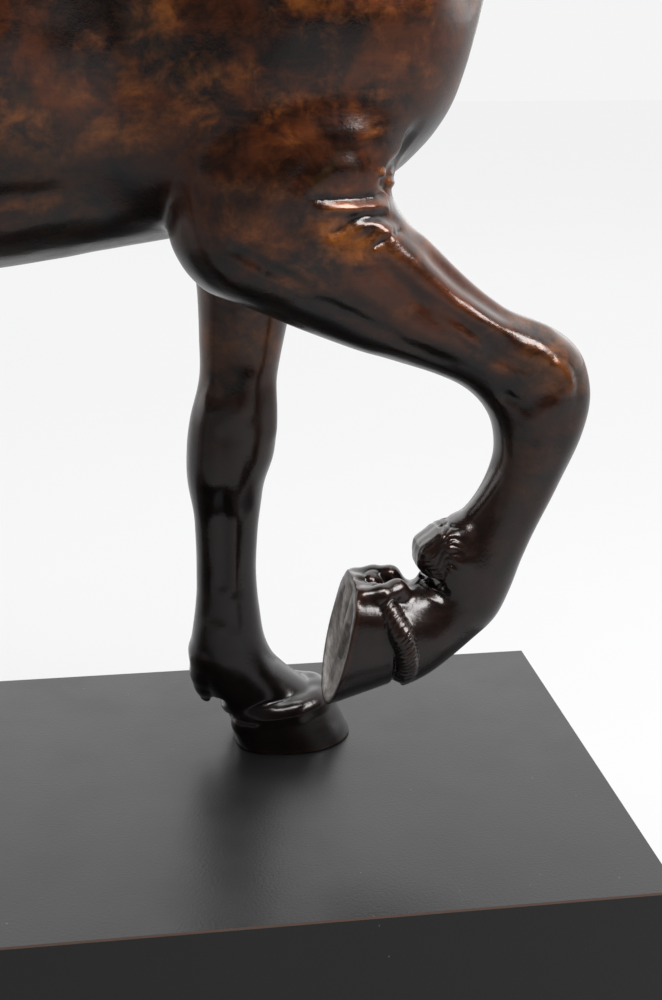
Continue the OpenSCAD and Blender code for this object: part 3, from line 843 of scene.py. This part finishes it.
def model_standing_fetlock(field, middle_y, outline):
    """The smooth hooked tuft behind a fetlock that stands, given as x, z and radius."""
    for v in (-3, 0, 3):
        narrowing = [v * (1 - 0.2 * k) for k in range(len(outline))]
        line = [(x, middle_y + y, z, radius) for y, (x, z, radius) in zip(narrowing, outline)]
        add_rod(field, line, 1.4)
    x, z, _ = outline[-1]
    notch = [(x + 4, middle_y - 15, z + 0.5, 1.6), (x + 3.2, middle_y, z - 1.6, 2.3),
             (x + 4, middle_y + 15, z + 0.5, 1.6)]
    add_rod(field, notch, 0.8, cut=True)


# The tuft behind each fetlock that stands: its middle y, and its x, z and radius down to its tip.
FETLOCKS = {
    "left_foreleg": (
        28, [(96, 42, 6.4), (93, 31, 6.6), (91.8, 24, 5.2), (91.6, 19.5, 3.8), (91.6, 15.8, 2)]),
    "right_hind_leg": (
        -25, [(-95, 44, 6), (-95.5, 36, 6), (-96, 29, 5), (-96.4, 24.5, 3.6), (-97, 21.2, 1.9)]),
    "left_hind_leg": (
        25, [(-166, 46, 6), (-167.5, 38, 6), (-168.6, 31, 5), (-169.4, 26.5, 3.6),
             (-170.2, 23.2, 1.9)]),
}


# ---------------------------------------------------------------- the head, the mane and the tail

def at_head(along, y, up):
    """A place on the head: along from the poll to the muzzle, and up from the line between."""
    return (153 + 0.438 * along + 0.899 * up, y, 397 - 0.899 * along + 0.438 * up)


def head_rod(field, side, path, reach, count=2, cut=False):
    """Adds or cuts a rod on one side of the head, smoothed when it has more than two points."""
    if count > 2:
        path = smooth_path(path, count)
    add_rod(field, [(*at_head(a, side * y, up), radius) for a, y, up, radius in path], reach, cut)


def model_head(field):
    for side in (-1, 1):
        def swell_head(path, radius, height):
            swell(field, [at_head(a, side * y, up) for a, y, up in path], radius, height)

        swell_head([(20, 19, -24), (26, 19, -22)], 12, 1.8)
        swell_head([(2, 17, -10), (4, 17, -34)], 5, -1.6)
        swell_head([(44, 17, -11), (56, 15, -12), (68, 13, -13)], 3.6, 1.6)
        swell_head([(50, 15, -22), (74, 12, -17)], 6, -1.2)
        swell_head([(28, 17, 4), (36, 17, 5)], 5, 1.4)
        swell_head([(46, 14, 4), (70, 10, 2)], 5, -1.0)
        swell_head([(20, 17, 3)], 5, -1.2)
        # The eye in its socket, between its lids.
        head_rod(field, side, [(34, 21.5, -3, 5.0)] * 2, 1.6, cut=True)
        head_rod(field, side, [(34, 14.2, -3, 4.6)] * 2, 0.3)
        upper = [(28.6, 15.8, -4.4, 1.0), (31, 17.6, -0.6, 1.3), (34.5, 18.2, 0.8, 1.4),
                 (38.4, 17, -1.6, 1.2), (40.4, 15.6, -4.8, 0.9)]
        lower = [(29, 16, -5, 0.8), (32, 17.4, -7.4, 1.0), (36, 17.4, -7.8, 1.0),
                 (40, 15.8, -5.4, 0.8)]
        for lid in (upper, lower):
            head_rod(field, side, lid, 0.5, 12)
        # The nostril in its raised rim.
        rim = [(103, 11.4, -2, 1.4), (107, 12, 0, 1.7), (111, 10.6, -3, 1.7), (112, 9.6, -8, 1.4),
               (108, 11.4, -8, 1.2)]
        head_rod(field, side, rim, 0.9, 14)
        hollow = [(106, 14, -3.4, 1.3), (109, 12.6, -4.4, 2.2), (110.4, 11, -7, 1.5)]
        head_rod(field, side, hollow, 0.6, cut=True)
        mouth = [(95, 12.2, -16.4, 0.5), (102, 12.8, -15.4, 0.9), (109, 12, -15, 1.0),
                 (114, 8.4, -14.6, 1.0), (117, 0, -14.4, 1.0)]
        head_rod(field, side, mouth, 0.4, 14, cut=True)
        wrinkle = [(99, 12.8, -11, 0.4), (104, 13.2, -10.4, 0.6), (107, 12.8, -11.6, 0.4)]
        head_rod(field, side, wrinkle, 0.6, cut=True)
        ear = [(158.4, side * 9, 402, 0.8), (160, side * 10, 408, 1.9),
               (160.2, side * 11, 414, 2.0), (160, side * 11.6, 420, 1.2)]
        add_rod(field, ear, 0.5, cut=True)
    swell(field, [at_head(20, 0, -44), at_head(62, 0, -28)], 5, -2.2)
    swell(field, [at_head(104, 0, -21)], 6, 1.2)
    swell(field, [at_head(50, 0, 10), at_head(90, 0, 5)], 4, 0.6)


MANE_CREST = [(84, 352), (86, 362), (93, 379), (105, 394), (120, 405), (136, 410), (150, 410)]
MANE_HEM = [(98, 326), (108, 330), (118, 342), (127, 353), (137, 362), (146, 372), (152, 384)]


def model_mane(field):
    """Two layers of wavy locks that hang on the near side of the neck."""
    random = np.random.default_rng(3)
    for layer, count in ((0, 21), (1, 15)):
        crest, hem = smooth_path(MANE_CREST, count), smooth_path(MANE_HEM, count)
        for k in range(count):
            start, end = crest[k], hem[k] + random.uniform(-3, 3, 2)
            if layer:
                end = start + (end - start) * random.uniform(0.6, 0.85)
            t = np.linspace(0, 1, 12)[:, None]
            line = start + (end - start) * t
            across = np.array((start[1] - end[1], end[0] - start[0]))
            across = across / max(np.linalg.norm(end - start), 1)
            wave = random.uniform(1.4, 2.6) * np.sin((1.6 * t + random.uniform(0, 0.3)) * math.pi)
            found = on_side(field, line + across * wave, -40, 1, 0.3 + 0.5 * layer)
            found[:, 1] = evened(found[:, 1], 0.3)
            lock_of_hair(field, found, random.uniform(1.7, 2.3), 0.35)
    for y in (-6, -3, 0, 3, 6):
        path = [(-7, 0.4 * y, 8), (4, 0.9 * y, 11.4), (14, y, 12.6), (24, 1.1 * y + 1, 12),
                (31, 0.9 * y, 11.2)]
        outer = abs(y) // 6  # the outer locks of the forelock end sooner
        lock_of_hair(field, [at_head(*p) for p in path[: 5 - outer]], 2.3, 0.4)


LOCKS_OF_TAIL = 26
TAIL_LINE = [  # x, z, half depth and half width
    (-146, 279, 9, 8), (-158, 273, 10, 11), (-167, 258, 10.5, 13), (-172.5, 237, 10.5, 14),
    (-175.5, 212, 11.5, 14.5), (-177.5, 185, 11.5, 14.5), (-179.5, 157, 10.5, 13.5),
    (-181.5, 133, 8.4, 10.6), (-183.5, 114, 5.4, 6.8), (-185, 103, 1.6, 2),
]


def model_tail(field):
    """Long locks that wind a little as they run down the tail."""
    random = np.random.default_rng(5)
    for k in range(LOCKS_OF_TAIL):
        first = random.uniform(0, 0.25)
        last = random.uniform(0.72, 1)
        line = smooth_path(TAIL_LINE, 41)[int(40 * first): int(40 * last) + 1]
        t = np.linspace(0, 1, len(line))
        turn = 2 * math.pi * (k + random.uniform(-0.2, 0.2)) / LOCKS_OF_TAIL
        turn = turn + 0.7 * t + 0.3 * np.sin(5 * t + k)
        x, z, depth, width = line.T
        path = np.column_stack([x + (depth - 0.7) * np.cos(turn), (width - 0.7) * np.sin(turn), z])
        lock_of_hair(field, path[::2], random.uniform(1.7, 2.3), 0.35)


def strokes_on(whole):
    """The strokes' paths on the skin, in x, y and z."""
    found = []
    for path, width, height, sharp in STROKES:
        line = on_side(whole, smooth_path(path, 4 * len(path)), -60, 1)
        line[:, 1] = evened(line[:, 1], 0.25)
        found.append((line, width, height, sharp))
    return found


def press(skin, strokes):
    for line, width, height, sharp in strokes:
        skin.stroke(line, width, height, sharp)
    skin.find_normals()


def twist(skin, ring):
    """Cuts the slanting turns of a rope into the skin along a closed ring."""
    which, gap, along = skin.near(ring, 4.4)
    length = np.linalg.norm(np.diff(ring, axis=0), axis=1).sum()
    middle = ring.mean(0)
    across = (skin.points[which] - middle) @ ROPE_BOW
    place = along * length + 0.5 * across
    place = place + 0.5 * np.sin(along * 23) + 0.3 * np.sin(along * 61 + across)
    turns = np.sin(2 * math.pi * place / 1.7)
    share = ramp(gap, 4.2, 2.8) * (0.75 + 0.25 * np.sin(along * 41))
    skin.points[which] += skin.normals[which] * (0.22 * share * turns)[:, None]


def in_near_chest(points):
    x, y, z = points.T
    return (x > 50) & (y < 4) & (z < 250)


def in_elbow_folds(points):
    x, y, z = points.T
    return (x > 72) & (y < -8) & (z > 140) & (z < 208)


def in_tuft_and_rope(points):
    """Whether points of the raised foreleg lie where the finest hair is."""
    x, _, z = points.T
    return (z < 98) & (x > 136) & (x < 170 - 0.45 * abs(z - 88))


# Each casting's own grid: two corners, how much finer it is, and a place in the casting.
REGIONS = {
    "neck_and_head": ((60, -48, 245), (214, 48, 432), 2, (190, 0, 320)),
    "tail": ((-200, -24, 92), (-128, 24, 296), 2, (-178, 0, 180)),
    "right_foreleg": ((108, -46, 28), (210, -6, 180), 3, (185, -25, 90)),
    "left_foreleg": ((78, 4, -8), (150, 50, 182), 3, (100, 28, 60)),
    "right_hind_leg": ((-135, -46, -8), (-40, -6, 182), 2, (-95, -25, 80)),
    "left_hind_leg": ((-182, 4, -8), (-80, 48, 190), 2, (-155, 25, 80)),
}


def build_horse():
    """The castings' modelled skins, by name: the body first, then what is joined to it."""
    whole = horse_field()
    strokes = strokes_on(whole)
    body = Skin(whole)
    body.refine(in_near_chest)
    body.refine(in_elbow_folds)
    press(body, strokes)
    barrel = (0, -45, 230)
    pieces = {"body": piece_from_skin("body_casting.skin", body, SEAMS.values(), barrel)}
    for name, (low, high, times, keep) in REGIONS.items():
        field = refined(whole, low, high, times)
        if name == "right_foreleg":
            model_hoof(field, HOOVES[name], True)
            model_raised_fetlock(field)
            rope = rope_ring()
            add_rod(field, rope, 0.5)
        elif name == "neck_and_head":
            model_head(field)
            model_mane(field)
        elif name == "tail":
            model_tail(field)
        elif name in HOOVES:
            model_hoof(field, HOOVES[name], False)
            model_coronet(field, HOOVES[name])
            model_standing_fetlock(field, *FETLOCKS[name])
        skin = Skin(field)
        if name == "right_foreleg":
            skin.refine(in_tuft_and_rope)
            twist(skin, rope[:, :3])
            skin.sole_share = HOOVES[name].sole_share
            comb_raised_tuft(skin)
        press(skin, strokes)
        pieces[name] = piece_from_skin(name + "_casting.skin", skin, [SEAMS[name]], keep)
    return pieces


# ---------------------------------------------------------------- materials

class Shading:
    """Helpers that add nodes to one material, or to the world."""

    def __init__(self, name, world=None, coordinates="Object"):
        self.material = world or bpy.data.materials.new(name)
        self.material.use_nodes = True
        self.nodes = self.material.node_tree.nodes
        self.links = self.material.node_tree.links
        self.shader = self.nodes["Background" if world else "Principled BSDF"]
        self.place = self.nodes.new("ShaderNodeTexCoord").outputs[coordinates]

    def set(self, node=None, **values):
        """Puts values into the inputs of a node, or of the shader, by their names."""
        for name, value in values.items():
            label = name.replace("_", " ").title().replace("Ior", "IOR")
            (node or self.shader).inputs[label].default_value = value

    def feed(self, name, socket):
        self.links.new(socket, self.shader.inputs[name])

    def stretched(self, scale):
        node = self.nodes.new("ShaderNodeMapping")
        node.inputs["Scale"].default_value = scale
        self.links.new(self.place, node.inputs["Vector"])
        return node.outputs[0]

    def noise(self, scale, detail=3.0, roughness=0.55, distortion=0.0, place=None):
        node = self.nodes.new("ShaderNodeTexNoise")
        self.set(node, scale=scale, detail=detail, roughness=roughness, distortion=distortion)
        self.links.new(place or self.place, node.inputs["Vector"])
        return node.outputs["Fac"]

    def mapped(self, socket, low, high, to_low=0.0, to_high=1.0):
        node = self.nodes.new("ShaderNodeMapRange")
        node.interpolation_type = "SMOOTHSTEP"
        self.set(node, from_min=low, from_max=high, to_min=to_low, to_max=to_high)
        self.links.new(socket, node.inputs["Value"])
        return node.outputs[0]

    def math(self, kind, a, b):
        node = self.nodes.new("ShaderNodeMath")
        node.operation = kind
        for k, value in enumerate((a, b)):
            if isinstance(value, (int, float)):
                node.inputs[k].default_value = value
            else:
                self.links.new(value, node.inputs[k])
        return node.outputs[0]

    def times(self, a, b):
        return self.math("MULTIPLY", a, b)

    def plus(self, a, b, share=1):
        """a and a share of b."""
        return self.math("ADD", a, b if share == 1 else self.times(b, share))

    def mix(self, share, a, b):
        node = self.nodes.new("ShaderNodeMix")
        node.data_type = "RGBA"
        self.links.new(share, node.inputs[0])
        for socket, value in ((node.inputs[6], a), (node.inputs[7], b)):
            if isinstance(value, tuple):
                socket.default_value = (*value, 1)
            else:
                self.links.new(value, socket)
        return node.outputs[2]

    def between(self, share, a, b):
        """A number from a to b, as its share goes from 0 to 1."""
        node = self.nodes.new("ShaderNodeMix")
        self.links.new(share, node.inputs[0])
        for socket, value in ((node.inputs[2], a), (node.inputs[3], b)):
            if isinstance(value, (int, float)):
                socket.default_value = value
            else:
                self.links.new(value, socket)
        return node.outputs[0]

    def seen(self):
        """1 where the camera sees it directly, and 0 in its light and its reflections."""
        return self.nodes.new("ShaderNodeLightPath").outputs["Is Camera Ray"]

    def normal(self, name="Normal"):
        return self.nodes.new("ShaderNodeNewGeometry").outputs[name]

    def attribute(self, name):
        node = self.nodes.new("ShaderNodeAttribute")
        node.attribute_name = name
        return node.outputs["Fac"]

    def axis(self, name, socket=None):
        node = self.nodes.new("ShaderNodeSeparateXYZ")
        self.links.new(socket or self.place, node.inputs[0])
        return node.outputs[name]

    def bump(self, height, distance, strength=1.0, under=None):
        node = self.nodes.new("ShaderNodeBump")
        self.set(node, distance=distance, strength=strength)
        self.links.new(height, node.inputs["Height"])
        if under:
            self.links.new(under, node.inputs["Normal"])
        return node.outputs[0]


def bronze_material():
    """A chocolate patina under wax, rubbed to red and orange brown on the high and upper parts,
    with painted shade in its creases and on its undersides.
    """
    s = Shading("bronze_patina")
    height = s.axis("Z")
    upper = s.mapped(height, 0.13, 0.25)
    ridge = s.attribute("ridge")
    on_ridges = s.mapped(ridge, 0.05, 0.6)
    painted_crease_shade = s.mapped(ridge, -0.05, -0.6)
    broad = s.noise(34, 4, 0.62, 0.8)
    fine = s.noise(150, 5, 0.65, 0.5)
    streaks = s.noise(60, 5, 0.7, 0.4, s.stretched((0.35, 0.6, 3.2)))
    blotches = s.mapped(s.plus(broad, fine, 0.35), 0.58, 0.80)
    brushed = s.mapped(streaks, 0.46, 0.70)
    rubbed = s.times(s.plus(blotches, brushed, 0.45), upper)
    rubbed = s.plus(s.times(rubbed, 0.75), on_ridges, 0.22)
    clouds = s.noise(36, 5, 0.65, 0.2, s.stretched((0.8, 0.9, 1.3)))
    orange = s.mapped(s.plus(clouds, fine, 0.3), 0.64, 0.94)
    orange = s.times(s.plus(orange, on_ridges, 0.15), upper)
    color = s.mix(s.mapped(fine, 0.3, 0.7), (0.008, 0.0045, 0.0038), (0.016, 0.0078, 0.0056))
    color = s.mix(rubbed, color, (0.072, 0.018, 0.0046))
    color = s.mix(orange, color, (0.235, 0.074, 0.014))
    shade = s.plus(s.noise(26, 5, 0.65, 0.3), fine, 0.2)
    shade = s.mapped(shade, 0.64, 0.46, 0, 0.8)
    color = s.mix(s.times(shade, upper), color, (0.004, 0.002, 0.0015))
    olive = s.mapped(s.noise(80, 3, 0.6, 0.3), 0.62, 0.78, 0, 0.35)
    color = s.mix(s.times(olive, upper), color, (0.045, 0.03, 0.009))
    # Painted shade: the creases are darkened toward near black.
    color = s.mix(s.times(painted_crease_shade, 0.8), color, (0.004, 0.0025, 0.002))
    lower = s.mapped(height, 0.06, 0.16, 0.5, 0.0)
    color = s.mix(lower, color, (0.0035, 0.003, 0.003))
    # Painted shade: surfaces that face down are darkened toward near black.
    painted_underside_shade = s.mapped(s.axis("Z", s.normal()), -0.15, -0.6, 0, 0.8)
    color = s.mix(painted_underside_shade, color, (0.003, 0.002, 0.002))
    # The lifted sole is pale grey, with the scratches of its rasping.
    sole = s.attribute("sole")
    rasped = s.mapped(s.noise(700, 4, 0.7, 0, s.stretched((1, 0.25, 0.25))), 0.3, 0.7)
    color = s.mix(sole, color, s.mix(rasped, (0.16, 0.145, 0.135), (0.42, 0.39, 0.37)))
    s.feed("Base Color", color)
    s.set(metallic=0.5, specular_ior_level=0.08, coat_ior=1.5)
    s.feed("Roughness", s.mapped(fine, 0.25, 0.75, 0.30, 0.46))
    s.feed("Coat Weight", s.mapped(sole, 0, 1, 0.8, 0.15))
    s.feed("Coat Roughness", s.mapped(s.noise(240, 4, 0.6), 0.3, 0.7, 0.08, 0.19))
    grain = s.bump(s.noise(1500, 3, 0.6), 0.00005, 0.7)
    marks = s.bump(s.noise(260, 4, 0.6, 0.3, s.stretched((0.5, 0.7, 1.6))), 0.0002, 0.6, grain)
    s.feed("Normal", marks)
    coat = s.bump(s.noise(1000, 4, 0.65), 0.00007, 0.8)
    s.feed("Coat Normal", coat)
    return s.material


def laminate_material(name, core=None):
    """Black laminate with fine orange peel, faint clouding and a few specks of dust.

    A core's color shows at the sheet's cut edges.
    """
    s = Shading(name)
    cloud = s.noise(14, 3, 0.5)
    specks = s.mapped(s.noise(700, 1, 0.4), 0.80, 0.84)
    color = s.mix(cloud, (0.005, 0.005, 0.0052), (0.008, 0.0078, 0.0078))
    color = s.mix(specks, color, (0.10, 0.09, 0.085))
    if core:
        edge = s.mapped(s.axis("Z", s.normal("True Normal")), 0.6, 0.4)
        color = s.mix(edge, color, core)
    s.feed("Base Color", color)
    s.set(specular_ior_level=0.40)
    s.feed("Roughness", s.mapped(s.noise(40, 3, 0.6), 0.3, 0.7, 0.30, 0.37))
    peel = s.bump(s.noise(1100, 2, 0.5), 0.00006, 0.8)
    s.feed("Normal", peel)
    return s.material


def metal_material(name, dark, light, scale, roughness, stretch=(1, 1, 1)):
    """A machined or cast metal with turning marks and tarnish."""
    s = Shading(name)
    tarnish = s.mapped(s.noise(scale, 4, 0.6, 0.3), 0.35, 0.7)
    s.feed("Base Color", s.mix(tarnish, light, dark))
    s.set(metallic=1.0)
    s.feed("Roughness", s.mapped(s.noise(3 * scale, 3, 0.6), 0.3, 0.7, *roughness))
    s.feed("Normal", s.bump(s.noise(900, 3, 0.6, 0, s.stretched(stretch)), 0.00006, 0.8))
    return s.material


def wood_material(name, dark, light, scale, stretch):
    """Pressed fibres or the grain of a sheet of wood."""
    s = Shading(name)
    grain = s.noise(scale, 6, 0.68, 0.6, s.stretched(stretch))
    flecks = s.mapped(s.noise(1400, 2, 0.6), 0.58, 0.72, 0, 0.5)
    color = s.mix(s.mapped(grain, 0.35, 0.65), dark, light)
    s.feed("Base Color", s.mix(flecks, color, tuple(0.5 * value for value in dark)))
    s.feed("Roughness", s.mapped(grain, 0.3, 0.7, 0.62, 0.85))
    s.feed("Normal", s.bump(s.noise(900, 4, 0.7, 0, s.stretched(stretch)), 0.0002, 0.7))
    return s.material


def felt_material():
    s = Shading("green_felt")
    fibres = s.noise(1300, 5, 0.75, 1.4)
    tufts = s.noise(260, 4, 0.6, 0.6)
    color = s.mix(s.mapped(fibres, 0.3, 0.7), (0.006, 0.022, 0.012), (0.022, 0.062, 0.034))
    s.feed("Base Color", s.mix(s.mapped(tufts, 0.5, 0.7, 0, 0.4), color, (0.035, 0.08, 0.05)))
    s.set(roughness=0.95, sheen_weight=0.5)
    s.feed("Normal", s.bump(s.plus(fibres, tufts), 0.0005, 0.9))
    return s.material


# ---------------------------------------------------------------- the studio

CAMERA_PLACE = (0.0711, -0.4105, 0.275)
CAMERA_TURN = 8.08  # degrees from +Y towards +X
CAMERA_TILT = 17.9  # degrees down
CAMERA_LENS = 51.77
FLOOR_REACH = 6
AREA_LIGHTS = [  # a name, a place, what it faces, its width and depth, and its power
    ("overhead", (0.1, 0.15, 1.3), (0.05, 0, 0.2), (0.6, 0.6), 6),
    ("front_softbox", (0.25, -0.42, 1.15), (0.1, 0, 0.2), (0.55, 0.35), 11),
    ("right_softbox", (0.80, -0.50, 0.88), (0.12, 0, 0.2), (0.5, 0.6), 17),
]


def build_camera():
    data = bpy.data.cameras.new("camera")
    data.lens = CAMERA_LENS
    data.sensor_width = 36.0
    data.clip_start = 0.01
    data.clip_end = 100.0
    camera = bpy.data.objects.new("camera", data)
    camera.location = CAMERA_PLACE
    camera.rotation_euler = (math.radians(90 - CAMERA_TILT), 0, math.radians(-CAMERA_TURN))
    bpy.context.scene.collection.objects.link(camera)
    bpy.context.scene.camera = camera


def build_floor():
    """A pale floor, level in tone with the pale room, that is dimmer where the horse mirrors it."""
    mesh = bpy.data.meshes.new("floor")
    corners = [(-1, -1, 0), (1, -1, 0), (1, 1, 0), (-1, 1, 0)]
    mesh.from_pydata([Vector(corner) * FLOOR_REACH for corner in corners], [], [(0, 1, 2, 3)])
    floor = bpy.data.objects.new("floor", mesh)
    bpy.context.scene.collection.objects.link(floor)
    s = Shading("pale_floor")
    s.feed("Base Color", s.mix(s.noise(3, 3, 0.5), (0.105, 0.105, 0.107), (0.115, 0.115, 0.117)))
    s.set(roughness=0.9, specular_ior_level=0.0, emission_color=(1, 1, 1, 1))
    # The floor's glow is painted light on the horse, dimmed toward the front right as painted shade
    # in its reflections; to the camera it is a nearly even pale.
    in_front = s.mapped(s.axis("X"), -0.4, 0.4, 0.14, 0.36)
    mirrored = s.between(s.mapped(s.axis("Y"), -0.3, 0.3), in_front, 0.4)
    squares = [s.math("POWER", s.axis(name), 2) for name in ("X", "Y")]
    away = s.math("POWER", s.plus(*squares), 0.5)
    pale = s.mapped(away, 0.2, 1.5, 0.705, 0.785)
    s.feed("Emission Strength", s.between(s.seen(), mirrored, pale))
    mesh.materials.append(s.material)


def area_light(name, place, target, size, power):
    data = bpy.data.lights.new(name, "AREA")
    data.shape = "RECTANGLE"
    data.size, data.size_y = size
    data.energy = power
    lamp = bpy.data.objects.new(name, data)
    lamp.location = place
    lamp.rotation_euler = (Vector(target) - Vector(place)).to_track_quat("-Z", "Y").to_euler()
    bpy.context.scene.collection.objects.link(lamp)


def build_world():
    """A pale room, bright behind the horse and to its left, and dark where it is seen from."""
    world = bpy.data.worlds.new("studio")
    bpy.context.scene.world = world
    s = Shading("studio", world, "Generated")
    low_front = s.mapped(s.axis("X"), -0.45, 0.1, 0.65, 0.06)
    high_front = s.mapped(s.axis("X"), -0.9, 0.2, 0.13, 0.02)
    front = s.between(s.mapped(s.axis("Z"), -0.04, 0.10), low_front, high_front)
    room = s.between(s.mapped(s.axis("Y"), -0.35, 0.35), front, 1.65)
    s.feed("Strength", s.between(s.seen(), room, 0.905))
    s.set(color=(1, 1, 1, 1))


build_camera()
build_floor()
build_world()
for light in AREA_LIGHTS:
    area_light(*light)
bpy.context.scene.view_settings.view_transform = "Standard"

pieces = build_horse()
bronze = bronze_material()
for name, piece in pieces.items():
    piece.data.materials.clear()
    piece.data.materials.append(bronze)
    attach(piece, "root")
    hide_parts(name + "_casting")

steel = metal_material("zinc_steel", (0.36, 0.36, 0.38), (0.62, 0.63, 0.66), 160, (0.24, 0.42))
board = wood_material("fibreboard", (0.23, 0.15, 0.085), (0.36, 0.25, 0.15), 420, (1, 1, 1))
plywood = wood_material("plywood", (0.40, 0.27, 0.14), (0.62, 0.47, 0.28), 90, (0.3, 6, 6))
pins = metal_material("pin_bronze", (0.30, 0.16, 0.06), (0.62, 0.38, 0.16), 200, (0.22, 0.4))
laminate = laminate_material("black_laminate")
sheet = laminate_material("black_laminate_sheet", core=(0.085, 0.05, 0.036))
NODE_MATERIALS = [
    (pins, ("leg_joint_pins", "neck_joint_pins", "tail_joint_pin", "core_vent_plugs")),
    (steel, ("hoof_studs", "stud_washers", "stud_spring_washers", "stud_nuts", "cover_screws")),
    (board, ("plinth_top_board", "plinth_front_rail", "plinth_back_rail", "plinth_left_end",
             "plinth_right_end", "corner_blocks")),
    (plywood, ("bottom_cover",)),
    (sheet, ("laminate_top",)),
    (laminate, ("laminate_front", "laminate_back", "laminate_left", "laminate_right")),
    (felt_material(), ("base_felt",)),
]
for material, names in NODE_MATERIALS:
    for name in names:
        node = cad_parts[name]
        node.data.materials.clear()
        node.data.materials.append(material)
